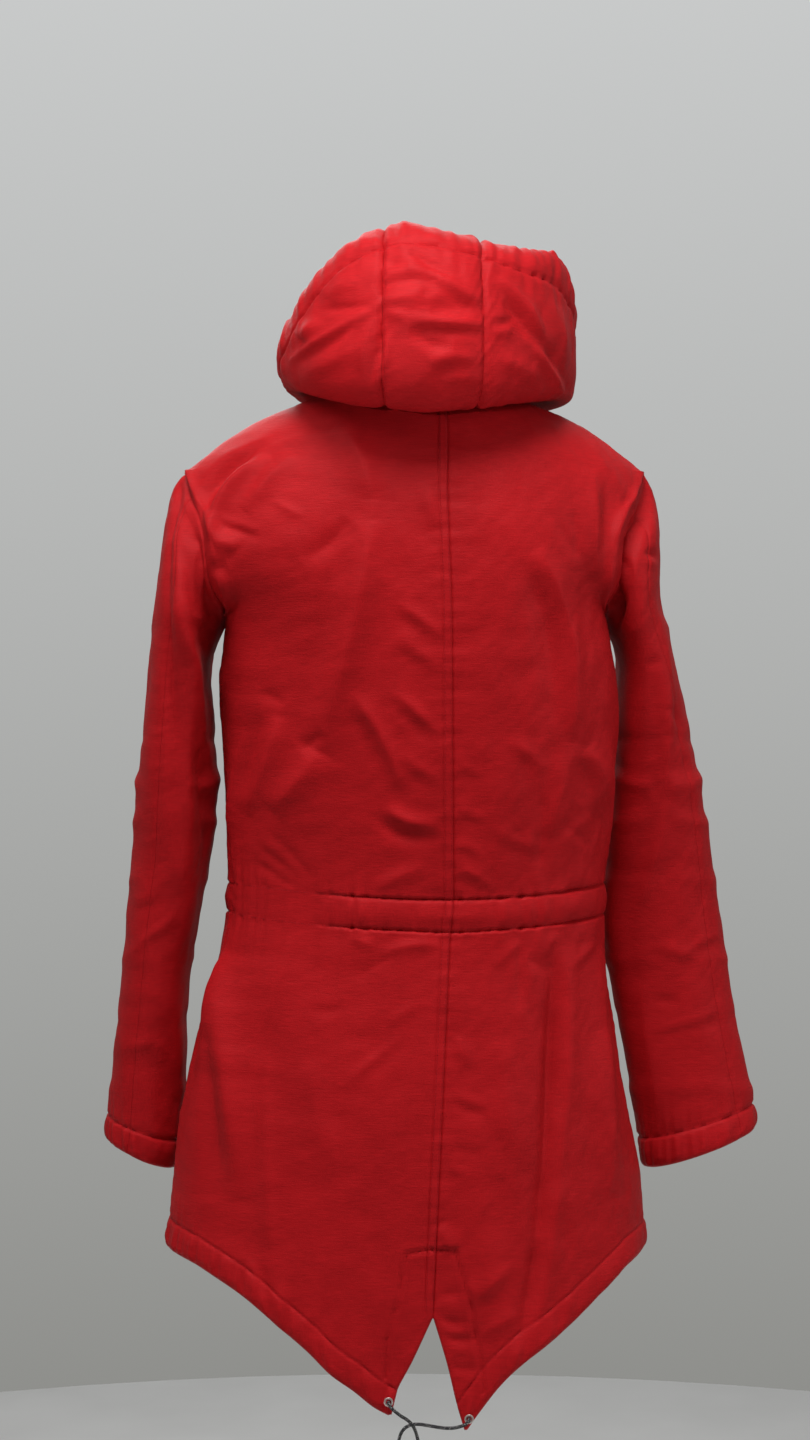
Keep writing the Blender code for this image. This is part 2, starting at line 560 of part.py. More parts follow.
def channel(place, start, end, puff):
    """A stitched channel: it stands out between two rows of stitches and sinks in at both."""
    t = (place - start) / (end - start)
    body = np.where((t > 0) & (t < 1), np.sin(np.pi * np.clip(t, 0, 1)), 0.0)
    rows = np.exp(-((place - start) / 0.12) ** 2) + np.exp(-((place - end) / 0.12) ** 2)
    return puff * body - STITCH_SINK * rows


def pucker(points, pitch):
    """Small uneven gathers: 1 at the crests and 0 in the troughs, along x and y together."""
    run = points[..., 0] - points[..., 1] * 0.8
    wave = np.sin(2 * np.pi * run / pitch) + 0.5 * np.sin(2 * np.pi * run / (pitch * 1.7) + 1.0)
    return 0.5 + wave / 3


# ---------------------------------------------------------------- walls
def grid_normals(grid):
    """Unit normals of a grid, from the steps across and down it."""
    down = np.gradient(grid, axis=0)
    across = np.gradient(grid, axis=1)
    out = np.cross(across, down)
    return out / np.maximum(np.linalg.norm(out, axis=-1, keepdims=True), 1e-12)


def shared_points(grids):
    """One number for every point of every grid, the same for points that lie together."""
    points = np.concatenate([grid.reshape(-1, 3) for grid in grids.values()])
    return np.unique(np.round(points, 5), axis=0, return_inverse=True)[1].ravel()


def to_grids(values, grids):
    """Values that run over every point of every grid, given back as one grid of them for each."""
    cuts = np.cumsum([grid.shape[0] * grid.shape[1] for grid in grids.values()])[:-1]
    shapes = [grid.shape[:2] + values.shape[1:] for grid in grids.values()]
    parts = [part.reshape(shape) for part, shape in zip(np.split(values, cuts), shapes)]
    return dict(zip(grids, parts))


def mitred(grids):
    """Outward directions at every point of every grid, with length 1 where the cloth is flat.

    Grids that share a point, as along a seam, get one direction there, as long as the corner
    of a wall needs, up to a limit.
    """
    normals = np.concatenate([grid_normals(grid).reshape(-1, 3) for grid in grids.values()])
    group = shared_points(grids)
    total = np.zeros((group.max() + 1, 3))
    np.add.at(total, group, normals)
    shared = total / np.maximum(np.linalg.norm(total, axis=-1, keepdims=True), 1e-9)
    lean = np.ones(len(shared))
    np.minimum.at(lean, group, np.sum(shared[group] * normals, axis=-1))
    long = shared / np.maximum(lean, 1 / MITRE_LIMIT)[:, None]
    return to_grids(long[group], grids)


def unit(vectors):
    return vectors / np.maximum(np.linalg.norm(vectors, axis=-1, keepdims=True), 1e-12)


def draw_back(outer, inner, edge, neighbour):
    """Moves one sewn edge of a wall back from its seam, square to the seam's own plane.

    edge and neighbour index the edge's points and the next ones in. The seam's plane holds the
    edge and the way through the wall, so where two pieces meet at a sharp angle both move more.
    At a corner of the edge the point clears the planes on both sides of it.
    """
    line_out = outer[edge]
    through = inner[edge] - line_out
    ahead = np.diff(line_out, axis=0, append=2 * line_out[-1:] - line_out[-2:-1])
    behind = np.diff(line_out, axis=0, prepend=2 * line_out[:1] - line_out[1:2])
    planes = [unit(np.cross(along, through)) for along in (ahead, behind)]
    moved = []
    for grid in (outer, inner):
        step = unit(grid[neighbour] - grid[edge])
        slants = [np.abs(np.sum(step * plane, axis=-1, keepdims=True)) for plane in planes]
        slant = np.maximum(np.minimum(*slants), SLANT_LIMIT)
        moved.append(grid[edge] + SEAM_HALF_GAP * step / slant)
    outer[edge], inner[edge] = moved


def wall_faces(points, rows, cols):
    """Faces of a closed wall: the outer grid, the inner grid turned round, and four rims.

    Which way a rim's quads are split depends on where they lie, so that the rims of two pieces
    that meet at a seam are split alike and lie clear of each other.
    """
    index = np.arange(rows * cols).reshape(rows, cols)
    shift = rows * cols
    corners = (index[:-1, :-1], index[1:, :-1], index[1:, 1:], index[:-1, 1:])
    outer = np.stack(corners, axis=-1).reshape(-1, 4)
    faces = outer.tolist() + (outer[:, ::-1] + shift).tolist()
    for edge in (index[0], index[:, -1], index[-1, ::-1], index[::-1, 0]):
        for a, b in zip(edge[:-1].tolist(), edge[1:].tolist()):
            c, d = b + shift, a + shift
            if np.dot(points[a] - points[b], RIM_SPLIT) > 0:
                faces += [(a, b, c), (a, c, d)]
            else:
                faces += [(a, b, d), (b, c, d)]
    return faces


def material(name, colour, roughness, metallic=0.0):
    """A plain surface with the piece's own colour."""
    made = bpy.data.materials.new(name)
    made.use_nodes = True
    shader = made.node_tree.nodes["Principled BSDF"]
    shader.inputs["Base Color"].default_value = (*colour, 1.0)
    shader.inputs["Roughness"].default_value = roughness
    shader.inputs["Metallic"].default_value = metallic
    return made


def finish(mesh, name, look):
    """Turns the faces outward, shades the piece smooth and puts it in the scene."""
    work = bmesh.new()
    work.from_mesh(mesh)
    bmesh.ops.recalc_face_normals(work, faces=work.faces)
    work.to_mesh(mesh)
    work.free()
    mesh.shade_smooth()
    mesh.set_sharp_from_angle(angle=SHARP_ANGLE)
    mesh.materials.append(look)
    piece = bpy.data.objects.new(name, mesh)
    bpy.context.scene.collection.objects.link(piece)
    return piece


def wall_piece(name, outer, inner, look):
    """A closed wall between an outer and an inner grid."""
    mesh = bpy.data.meshes.new(name)
    points = np.concatenate([outer.reshape(-1, 3), inner.reshape(-1, 3)])
    mesh.from_pydata(points.tolist(), [], wall_faces(points, *outer.shape[:2]))
    return finish(mesh, name, look)


# ---------------------------------------------------------------- the garment's grids
def whole_grids():
    """The coat's cloth before it is cut into pieces: four quarters, two sleeves and a hood."""
    back_left = quarter(1, 1, BODY_ROWS)
    front_left = quarter(1, -1, BODY_ROWS)[:, ::-1]
    front_right = quarter(-1, -1, BODY_ROWS)
    back_right = quarter(-1, 1, BODY_ROWS)[:, ::-1]
    neck = np.concatenate([front_right[0], back_right[0, 1:], back_left[0, 1:], front_left[0, 1:]])
    grids = {"back_left": back_left, "front_left": front_left,
             "front_right": front_right, "back_right": back_right,
             "sleeve_left": sleeve_grid(1, SLEEVE_STATIONS),
             "sleeve_right": sleeve_grid(-1, SLEEVE_STATIONS),
             "hood": hood_grid(neck, HOOD_RINGS)[::-1]}
    outward = {name: unit(ways) for name, ways in mitred(grids).items()}
    lifts = [fold_height(grid, outward[name], *FOLDS_OF[name.split("_")[0]]).ravel()
             for name, grid in grids.items()]
    group = shared_points(grids)
    even = np.bincount(group, np.concatenate(lifts)) / np.bincount(group)
    lift = to_grids(even[group][:, None], grids)
    return {name: grid + lift[name] * outward[name] for name, grid in grids.items()}


def relief(name, grid):
    """How far each outer point stands out: the stitched channels, gathers and felled seam."""
    piece = name.split("_")[0]
    if piece == "hood":
        rings = HOOD_RINGS[::-1]
        return channel(rings, 12, 13, RIM_PUFF)[:, None] * (0.7 + 0.6 * pucker(grid, 0.045))
    if piece == "sleeve":
        cuff = channel(SLEEVE_STATIONS, SLEEVE_STATIONS[-3], 1.0, CUFF_PUFF)
        return cuff[:, None] * (0.7 + 0.6 * pucker(grid, 0.035))
    waist = channel(BODY_ROWS, 3, 4, WAIST_PUFF)[:, None] * (0.6 + 0.8 * pucker(grid, 0.050))
    hem = channel(BODY_ROWS, 6, 7, HEM_PUFF)[:, None] * (0.7 + 0.6 * pucker(grid, 0.045))
    raised = waist + hem
    if name == "back_left":
        raised[:VENT_ROW, 1:len(FELL_STEPS) - 1] += FELL_RISE
    return raised


def cut_pieces(grids):
    """The sewn pieces: each a pair of outer and inner grids, drawn back from its seams."""
    ways = mitred(grids)
    faces = {}
    for name, grid in grids.items():
        raised = relief(name, grid)[..., None] * unit(ways[name])
        faces[name] = (grid + raised, grid - WALL * ways[name])

    rows, last = slice(None), -1
    seams = {"top": ((0, rows), (1, rows)), "bottom": ((last, rows), (last - 1, rows)),
             "first": ((rows, 0), (rows, 1)), "last": ((rows, last), (rows, last - 1))}
    upper = slice(0, VENT_ROW + 1)
    seams["first above vent"] = ((upper, 0), (upper, 1))
    seams["last above vent"] = ((upper, last), (upper, last - 1))

    pieces = {}

    def cut(piece, name, columns, sewn):
        outer, inner = (face[:, columns].copy() for face in faces[name])
        for seam in sewn:
            draw_back(outer, inner, *seams[seam])
        pieces[piece] = (outer, inner)

    everything = np.arange(faces["back_left"][0].shape[1])
    fronts = np.arange(faces["front_left"][0].shape[1])
    cut("back_left", "back_left", everything, ("top", "first above vent", "last"))
    cut("back_right", "back_right", everything, ("top", "first", "last above vent"))
    cut("front_left", "front_left", fronts, ("top", "first"))
    cut("front_right", "front_right", fronts, ("top", "last"))
    low, high = SLEEVE_SEAMS
    around = faces["sleeve_left"][0].shape[1]
    over = np.concatenate([np.arange(high, around), np.arange(1, low + 1)])
    for side in ("left", "right"):
        sleeve = "sleeve_" + side
        cut(sleeve + "_top", sleeve, over, ("top", "first", "last"))
        cut(sleeve + "_under", sleeve, np.arange(low, high + 1), ("top", "first", "last"))
    neck_x = grids["hood"][-1, :, 0]
    behind = grids["hood"][-1, :, 1] > 0
    middle = len(fronts) + len(everything) - 2
    across = np.where(behind, neck_x - neck_x[middle], np.inf)
    right = int(np.abs(across + HOOD_HALF_PANEL).argmin())
    left = int(np.abs(across - HOOD_HALF_PANEL).argmin())
    cut("hood_right", "hood", np.arange(0, right + 1), ("bottom", "last"))
    cut("hood_centre", "hood", np.arange(right, left + 1), ("bottom", "first", "last"))
    cut("hood_left", "hood", np.arange(left, grids["hood"].shape[1]), ("bottom", "first"))
    return pieces


# ---------------------------------------------------------------- zip
def zip_line(grids):
    """The middle of the front opening, from the hood's rim down to the hem."""
    hood = (grids["hood"][:, 0] + grids["hood"][:, -1]) / 2
    body = (grids["front_left"][:, -1] + grids["front_right"][:, 0]) / 2
    return np.concatenate([hood[ZIP_TOP_ROW:], body[1:-1]])


def zip_tape(grids, look):
    """The closed zip's tape and teeth: a plain strip between the fronts, a little behind them."""
    middle = zip_line(grids)
    edge = np.array((ZIP_HALF_WIDTH, 0, 0))
    face = np.stack([middle + edge, middle - edge], axis=1) + np.array((0, ZIP_SETBACK, 0))
    return wall_piece("zip_tape", face, face + np.array((0, ZIP_THICKNESS, 0)), look)


def slab(name, outline, low, high, axis):
    """A mesh with an outline of (a, b) points pushed from low to high along x or y.

    Along x the outline is (y, z), and along y it is (x, z).
    """
    work = bmesh.new()
    rings = []
    for level in (low, high):
        if axis == "x":
            places = [(level, a, b) for a, b in outline]
        else:
            places = [(a, level, b) for a, b in outline]
        rings.append([work.verts.new(place) for place in places])
    work.faces.new(rings[0])
    work.faces.new(rings[1][::-1])
    count = len(outline)
    for i in range(count):
        j = (i + 1) % count
        work.faces.new((rings[0][i], rings[1][i], rings[1][j], rings[0][j]))
    bmesh.ops.recalc_face_normals(work, faces=work.faces)
    mesh = bpy.data.meshes.new(name)
    work.to_mesh(mesh)
    work.free()
    return mesh


def rounded(half_width, low, high, radius, steps=4):
    """An outline of a rectangle with round corners, from low to high in its second measure."""
    outline = []
    for turn, (cx, cz) in enumerate(((half_width - radius, high - radius),
                                     (radius - half_width, high - radius),
                                     (radius - half_width, low + radius),
                                     (half_width - radius, low + radius))):
        for step in range(steps + 1):
            angle = (turn + step / steps) * np.pi / 2
            outline.append((cx + radius * np.cos(angle), cz + radius * np.sin(angle)))
    return outline


def boolean(piece, cutter_mesh, operation):
    """Joins or cuts a piece with a hidden helper of the given mesh."""
    helper = bpy.data.objects.new(piece.name + "_" + operation.lower(), cutter_mesh)
    bpy.context.scene.collection.objects.link(helper)
    helper.location = piece.location
    helper.hide_render = True
    helper.display_type = "WIRE"
    change = piece.modifiers.new(operation.title(), "BOOLEAN")
    change.operation = operation
    change.object = helper


def slider_and_pull(grids, metal):
    """The slider with its bail, and the pull tab whose top bar turns inside the bail.

    Both are modelled round the hinge: y = 0 is the bar's middle and -y is the front.
    """
    middle = zip_line(grids)[::-1]
    y_line = curve(middle[:, 2], middle[:, 1], SLIDER_HEIGHT)
    x_line = curve(middle[:, 2], middle[:, 0], SLIDER_HEIGHT)
    front = BAR_TO_FACE
    back = BAR_TO_FACE + SLIDER_DEPTH
    place = (x_line, y_line + ZIP_SETBACK - SEAT_GAP - back, SLIDER_HEIGHT)

    body = rounded(SLIDER_HALF_WIDTH, -SLIDER_BELOW, SLIDER_ABOVE, SLIDER_CORNER)
    slider = finish(slab("slider", body, front, back, "y"), "zip_slider", metal)
    slider.location = place
    foot = front + BAIL_SUNK
    bar = BAIL_THICKNESS
    arch_out = [(foot, -BAIL_HALF_HEIGHT), (bar - BAIL_REACH, -BAIL_HALF_HEIGHT),
                (-BAIL_REACH, bar - BAIL_HALF_HEIGHT), (-BAIL_REACH, BAIL_HALF_HEIGHT - bar),
                (bar - BAIL_REACH, BAIL_HALF_HEIGHT), (foot, BAIL_HALF_HEIGHT)]
    arch_in = [(foot, BAIL_HALF_HEIGHT - bar), (bar - BAIL_REACH, BAIL_HALF_HEIGHT - bar),
               (bar - BAIL_REACH, bar - BAIL_HALF_HEIGHT), (foot, bar - BAIL_HALF_HEIGHT)]
    arch = slab("bail", arch_out + arch_in, -BAIL_HALF_WIDTH, BAIL_HALF_WIDTH, "x")
    boolean(slider, arch, "UNION")

    outline = rounded(PULL_HALF_WIDTH, -PULL_LENGTH, BAR_RADIUS, PULL_CORNER)
    plate = slab("pull", outline, -BAR_RADIUS, BAR_RADIUS, "y")
    pull = finish(plate, "zip_pull", metal)
    pull.location = place
    window = rounded(BAIL_HALF_WIDTH + WINDOW_PLAY, -BAR_RADIUS - PULL_WINDOW, -BAR_RADIUS,
                     WINDOW_CORNER, 2)
    boolean(pull, slab("window", window, -CUTTER_REACH, CUTTER_REACH, "y"), "DIFFERENCE")
    grip = rounded(PULL_HALF_WIDTH - GRIP_INSET, GRIP_FROM - PULL_LENGTH, GRIP_TO - PULL_LENGTH,
                   GRIP_CORNER, 2)
    boolean(pull, slab("grip", grip, -CUTTER_REACH, GRIP_DEPTH - BAR_RADIUS, "y"), "DIFFERENCE")


# ---------------------------------------------------------------- hem eyelets and drawcord
def surface_place(piece, x, z):
    """The point of a piece's outer face behind (x, z) as seen from the back, and its normal."""
    outer = piece[0]
    normals = grid_normals(outer).reshape(-1, 3)
    flat = outer.reshape(-1, 3)
    near = np.argmin((flat[:, 0] - x) ** 2 + (flat[:, 2] - z) ** 2)
    point, normal = flat[near], normals[near]
    y = point[1] - (normal[0] * (x - point[0]) + normal[2] * (z - point[2])) / normal[1]
    return np.array((x, y, z)), normal


def eyelet(name, place, normal, look):
    """A rolled metal ring, seated on the cloth round the hole that the cord leaves by."""
    tube = (EYELET_OUTER - EYELET_INNER) / 2
    centre = (EYELET_OUTER + EYELET_INNER) / 2
    work = bmesh.new()
    profile = [(centre + tube * np.cos(a), 0, EYELET_RISE * (0.5 + 0.5 * np.sin(a)))
               for a in np.arange(8) * np.pi / 4]
    start = [work.verts.new(place_) for place_ in profile]
    edges = [work.edges.new((start[i], start[(i + 1) % 8])) for i in range(8)]
    bmesh.ops.spin(work, geom=start + edges, cent=(0, 0, 0), axis=(0, 0, 1), angle=2 * np.pi,
                   steps=18, use_duplicate=False)
    bmesh.ops.remove_doubles(work, verts=work.verts, dist=1e-6)
    mesh = bpy.data.meshes.new(name)
    work.to_mesh(mesh)
    work.free()
    ring = finish(mesh, name, look)
    ring.location = place + normal * SEAT_GAP
    ring.rotation_euler = Vector(normal).to_track_quat("Z", "Y").to_euler()
    return ring


def smooth_route(points, spacing):
    """Points at even steps along a smooth curve (Catmull-Rom) through the route's own points."""
    points = np.asarray(points, float)
    padded = np.concatenate([[2 * points[0] - points[1]], points, [2 * points[-1] - points[-2]]])
    t = np.linspace(0, 1, 20, endpoint=False)[:, None]
    spans = []
    for a, b, c, d in zip(padded, padded[1:], padded[2:], padded[3:]):
        spans.append(0.5 * (2 * b + (c - a) * t + (2 * a - 5 * b + 4 * c - d) * t ** 2
                            + (3 * b - a - 3 * c + d) * t ** 3))
    dense = np.concatenate(spans + [points[-1:]])
    reach = np.concatenate([[0], np.cumsum(np.linalg.norm(np.diff(dense, axis=0), axis=1))])
    even = np.linspace(0, reach[-1], int(round(reach[-1] / spacing)) + 1)
    return np.stack([np.interp(even, reach, dense[:, axis]) for axis in range(3)], axis=-1)


def drawcord(route, look):
    """The elastic cord's loop between the two tail tips, with one cross over itself."""
    shape = bpy.data.curves.new("hem_cord", "CURVE")
    shape.dimensions = "3D"
    shape.bevel_depth = CORD_DIAMETER / 2
    shape.bevel_resolution = 2
    shape.use_fill_caps = True
    points = smooth_route(route, CORD_STEP)
    spline = shape.splines.new("POLY")
    spline.points.add(len(points) - 1)
    for knot, point in zip(spline.points, points):
        knot.co = (*point, 1.0)
    shape.materials.append(look)
    cord = bpy.data.objects.new("hem_cord", shape)
    bpy.context.scene.collection.objects.link(cord)


# ---------------------------------------------------------------- the coat
def build():
    shell = material("shell_cloth", (0.42, 0.010, 0.018), 0.62)
    tape = material("zip_tape_cloth", (0.36, 0.010, 0.016), 0.7)
    metal = material("zip_metal", (0.62, 0.61, 0.60), 0.32, 1.0)
    rolled = material("eyelet_metal", (0.72, 0.66, 0.62), 0.35, 1.0)
    elastic = material("cord_braid", (0.02, 0.02, 0.022), 0.75)

    grids = whole_grids()
    pieces = cut_pieces(grids)
    for name, (outer, inner) in pieces.items():
        wall_piece(name, outer, inner, shell)
    zip_tape(grids, tape)
    slider_and_pull(grids, metal)
    route = np.stack([CORD_ROUTE[axis] for axis in "xyz"], axis=-1)
    for name, end in (("left", 0), ("right", -1)):
        seat, normal = surface_place(pieces["back_" + name], route[end, 0], route[end, 2])
        eyelet("eyelet_" + name, seat, normal, rolled)
        route[end] = seat + SEAT_GAP * normal
    drawcord(route, elastic)


for thing in list(bpy.data.objects):
    bpy.data.objects.remove(thing, do_unlink=True)
build()
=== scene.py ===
"""Hooded fishtail parka in its worn form, seen from the back: a lesson in cells.

Metres, +Z up; tables are in millimetres. The coat's back faces +Y and the wearer's left is +X.
"""
# %% [markdown]
# # A worn coat, cell by cell
# A coat is flat cloth made round by its seams. Each cell below makes one thing that a maker would:
# the cut panels, their folds, the drawn casings, the stitches, the zip, the cord, and the finishes.
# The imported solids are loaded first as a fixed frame, so every piece has one place to be.

# %% Load the frame
import json

import bpy
import numpy as np
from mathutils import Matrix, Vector

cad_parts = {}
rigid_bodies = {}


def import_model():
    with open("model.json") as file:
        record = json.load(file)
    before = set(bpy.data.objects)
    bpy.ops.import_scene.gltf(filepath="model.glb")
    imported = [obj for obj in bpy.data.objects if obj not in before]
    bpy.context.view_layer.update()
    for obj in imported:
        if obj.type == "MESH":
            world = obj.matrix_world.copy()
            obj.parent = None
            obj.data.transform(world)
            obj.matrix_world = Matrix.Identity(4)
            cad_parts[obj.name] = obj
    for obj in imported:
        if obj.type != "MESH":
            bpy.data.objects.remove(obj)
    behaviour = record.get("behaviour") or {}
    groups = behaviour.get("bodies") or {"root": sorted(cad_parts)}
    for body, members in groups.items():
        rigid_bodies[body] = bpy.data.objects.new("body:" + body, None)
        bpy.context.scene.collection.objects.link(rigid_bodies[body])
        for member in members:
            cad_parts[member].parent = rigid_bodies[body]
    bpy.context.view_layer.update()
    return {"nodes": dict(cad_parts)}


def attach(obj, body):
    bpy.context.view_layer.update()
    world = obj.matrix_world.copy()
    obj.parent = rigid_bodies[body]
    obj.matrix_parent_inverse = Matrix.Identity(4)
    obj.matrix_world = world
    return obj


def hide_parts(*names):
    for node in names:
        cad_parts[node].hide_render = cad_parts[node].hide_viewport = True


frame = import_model()

# %% [markdown]
# ## Camera
# The picture was taken from straight behind, at hip height, with no tilt, so upright lines stay
# upright. A level camera with a lens that gives the coat its size in the frame does the same.

# %% Camera behind the coat
CAMERA_PLACE = (0.0089, 2.2, -0.290)
LENS_MM, SENSOR_MM = 61.575, 36.0
camera = bpy.data.objects.new("camera", bpy.data.cameras.new("camera"))
camera.data.lens = LENS_MM
camera.data.sensor_width = SENSOR_MM
camera.location = CAMERA_PLACE
camera.rotation_euler = (np.pi / 2, 0, np.pi)
bpy.context.scene.collection.objects.link(camera)
bpy.context.scene.camera = camera
print("camera at", CAMERA_PLACE, "with a lens of", LENS_MM, "mm")

# %% [markdown]
# ## Drawcord
# A thin round elastic cord comes out of one tail tip, hangs in a loop, crosses itself and goes into
# the other tip. A curve with a bevel would do, but a tube made here carries its own map: u round the
# cord and v along it, which the braid's flecks follow. The route is a short list of given points,
# joined by a smooth curve that goes through each of them.

# %% A table with named columns, and a smooth route through points
ROUTE_STEPS = 20         # points tried between two points of a route
PLAIN_COLUMNS = ("row", "turn", "at", "across", "drop", "lean")    # these hold no lengths


def table(text):
    """Reads a table in millimetres into arrays in metres, one for each name in its first line."""
    names, *rows = (words.split() for words in text.strip().splitlines())
    columns = np.array(rows, dtype=float).T
    return {name: column if name in PLAIN_COLUMNS else column / 1000 for name, column in zip(names, columns)}


def unit(vectors):
    """Each vector divided by its own length."""
    return vectors / np.maximum(np.linalg.norm(vectors, axis=-1, keepdims=True), 1e-12)


def reach_along(points):
    """The length of a line of points up to each of them: the sum of the steps before it."""
    steps = np.linalg.norm(np.diff(points, axis=0), axis=1)
    return np.concatenate([[0.0], np.cumsum(steps)])


def at_reach(places, reach, values):
    """Points or directions of a line, read at some lengths along it."""
    return np.stack([np.interp(places, reach, values[:, axis]) for axis in range(3)], axis=-1)


def even_points(points, count):
    """The same line with a number of points at even lengths along it."""
    reach = reach_along(points)
    return at_reach(np.linspace(0, reach[-1], count), reach, points)


def smooth_route(points, spacing):
    """A Catmull-Rom curve: between two points a cubic whose end slopes join their neighbours."""
    padded = np.concatenate([[2 * points[0] - points[1]], points, [2 * points[-1] - points[-2]]])
    a, b, c, d = (padded[i:len(padded) - 3 + i, None] for i in range(4))
    t = np.linspace(0, 1, ROUTE_STEPS, endpoint=False)[None, :, None]
    cubic = 0.5 * (2 * b + (c - a) * t + (2 * a - 5 * b + 4 * c - d) * t ** 2
                   + (3 * b - a - 3 * c + d) * t ** 3)
    dense = np.concatenate([cubic.reshape(-1, 3), points[-1:]])
    return even_points(dense, int(round(reach_along(dense)[-1] / spacing)) + 1)


def mesh_piece(name, points, faces, looks, uv=None):
    """Puts points and faces into a mesh object, smooth, at the origin, with an optional map."""
    mesh = bpy.data.meshes.new(name)
    mesh.from_pydata(np.asarray(points).tolist(), [], faces)
    if uv is not None:
        layer = mesh.uv_layers.new(name="map")
        corners = np.zeros(len(mesh.loops), dtype=np.int32)
        mesh.loops.foreach_get("vertex_index", corners)
        layer.data.foreach_set("uv", np.asarray(uv, dtype=np.float32)[corners].ravel())
    mesh.shade_smooth()
    mesh.materials.append(looks)
    piece = bpy.data.objects.new(name, mesh)
    bpy.context.scene.collection.objects.link(piece)
    return piece


def look(name):
    """An empty node material, whose nodes come with the finishes below."""
    made = bpy.data.materials.new(name)
    made.use_nodes = True
    return made


shell_look, lining_look, tape_look = look("red_shell"), look("red_lining"), look("zip_tape_weave")
thread_look, cord_look = look("red_thread"), look("flecked_braid")
metal_look, eyelet_look, teeth_look = look("zip_metal"), look("eyelet_metal"), look("zip_teeth")

# %% The cord's tube
CORD_DIAMETER = 0.0028
CORD_SIDES = 12
CORD_STEP = 0.0012
CORD_ROUTE = table("""
      x       y        z
 22.791 132.415 -862.495
   22.7   136.5     -863
   19.5   139.3   -866.5
     13   138.8     -872
    6.8   136.8   -876.5
    2.5   135.2   -881.5
   -0.5   134.5   -888.5
   -2.5   134.5     -899
     -1   135.5   -909.5
    5.5     137   -914.5
   12.2   138.5   -909.5
   14.6   139.5     -900
   13.6   140.4   -890.5
   10.5   141.2   -883.5
      5   141.5   -879.5
     -2     141   -878.7
  -11.5     140   -880.3
  -22.5   139.5   -882.2
    -32   139.7   -882.2
  -40.5   139.5     -880
  -44.5   136.8   -877.5
-44.999 131.562 -876.992
""")


def tube(path, radius, sides):
    """Circles square to the path, each turned as little as can be from the one before it."""
    ways = unit(np.gradient(path, axis=0))
    first = [unit(np.cross(ways[0], (0.0, 0.0, 1.0)))]
    for way in ways[1:]:
        first.append(unit(first[-1] - way * np.dot(first[-1], way)))
    first = np.array(first)
    second = np.cross(ways, first)
    angle = np.linspace(0, 2 * np.pi, sides + 1)
    ring = np.cos(angle)[:, None] * first[:, None] + np.sin(angle)[:, None] * second[:, None]
    return path[:, None] + radius * ring


def grid_quads(index):
    """Four corners for each cell of a grid of point numbers: across first, then down."""
    corners = (index[:-1, :-1], index[:-1, 1:], index[1:, 1:], index[1:, :-1])
    return np.stack(corners, axis=-1).reshape(-1, 4)


cord_route = smooth_route(np.stack([CORD_ROUTE[axis] for axis in "xyz"], axis=-1), CORD_STEP)
cord_grid = tube(cord_route, CORD_DIAMETER / 2, CORD_SIDES)
cord_rows, cord_columns = cord_grid.shape[:2]
around = np.arange(cord_rows * cord_columns).reshape(cord_rows, cord_columns)
welded = around.copy()
welded[:, -1] = around[:, 0]
cord_faces = grid_quads(welded).tolist()
cord_faces += [welded[0, :-1][::-1].tolist(), welded[-1, :-1].tolist()]
cord_map = np.stack(np.broadcast_arrays(np.linspace(0, 1, cord_columns)[None, :],
                                        reach_along(cord_route)[:, None] / CORD_DIAMETER), axis=-1)
cord = mesh_piece("drawcord", cord_grid.reshape(-1, 3), cord_faces, cord_look, cord_map.reshape(-1, 2))
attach(cord, "jacket")
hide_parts("hem_cord")

# %% [markdown]
# ## The cloth's main form
# The coat is worn, so its body is a tube that follows its seams: tables give the centre, side and
# shoulder seams row by row, and each row between two seams is one Bezier curve. A simulation could
# drape cut panels over a figure, but there is no figure here, and a table of seams keeps the outline
# where the picture has it. Rows are numbered down the coat: 0 neck, 1 shoulder tip, 2 underarm,
# 3 and 4 the waist casing, 5 the top of the tail's vent, 6 the hem's stitches, 7 the hem's edge.

# %% Smooth lines through tables
def curve(knots, values, at):
    """A cubic between each two knots, with the harmonic mean of both sides' slopes at a knot.

    Where the values turn back the slope is zero, so the line never swings past them.
    """
    knots, values = np.asarray(knots, float), np.asarray(values, float)
    steps = np.diff(knots)
    slopes = np.diff(values) / steps
    ends = np.concatenate([slopes[:1], np.zeros(len(slopes) - 1), slopes[-1:]])
    same_way = slopes[:-1] * slopes[1:] > 0
    both = slopes[:-1] + slopes[1:]
    ends[1:-1][same_way] = (2 * slopes[:-1] * slopes[1:])[same_way] / both[same_way]
    at = np.clip(at, knots[0], knots[-1])
    piece = np.clip(np.searchsorted(knots, at, side="right") - 1, 0, len(steps) - 1)
    width = steps[piece]
    t = (at - knots[piece]) / width
    rise = values[piece + 1] - values[piece]
    bend = (1 - t) * (ends[piece] * width - rise) + t * (rise - ends[piece + 1] * width)
    return values[piece] + t * rise + t * (1 - t) * bend


def line(places, key, at):
    """The x, y, z points of a table's line at the given places of its key column."""
    return np.stack([curve(places[key], places[axis], at) for axis in "xyz"], axis=-1)


def ease(t):
    """Zero before 0, one after 1, level at both ends: t squared times (3 - 2t)."""
    t = np.clip(t, 0.0, 1.0)
    return t * t * (3 - 2 * t)


def mix(a, b, t):
    """A share 1 - t of a and t of b."""
    return a + (b - a) * t

# %% Seam tables of the body
CENTRE_BACK = table("""
row     x    y      z
  0   -27   78    -14
0.5 -27.5   92    -48
  1 -27.5  103    -85
1.5   -29  113   -140
  2   -31  117   -200
2.5 -31.7  111   -320
  3 -32.5   98 -443.5
  4   -30 98.5 -471.6
4.5 -22.5  116   -630
  5 -14.7  126   -794
""")

# Below the vent's top the two backs part, and each has its own edge down to its tail tip.
VENT_LEFT = table("""
row     x     y      z
  5 -14.7   126   -794
5.5     2 127.5   -829
  6    15 128.5   -854
  7  20.7   129 -876.5
""")

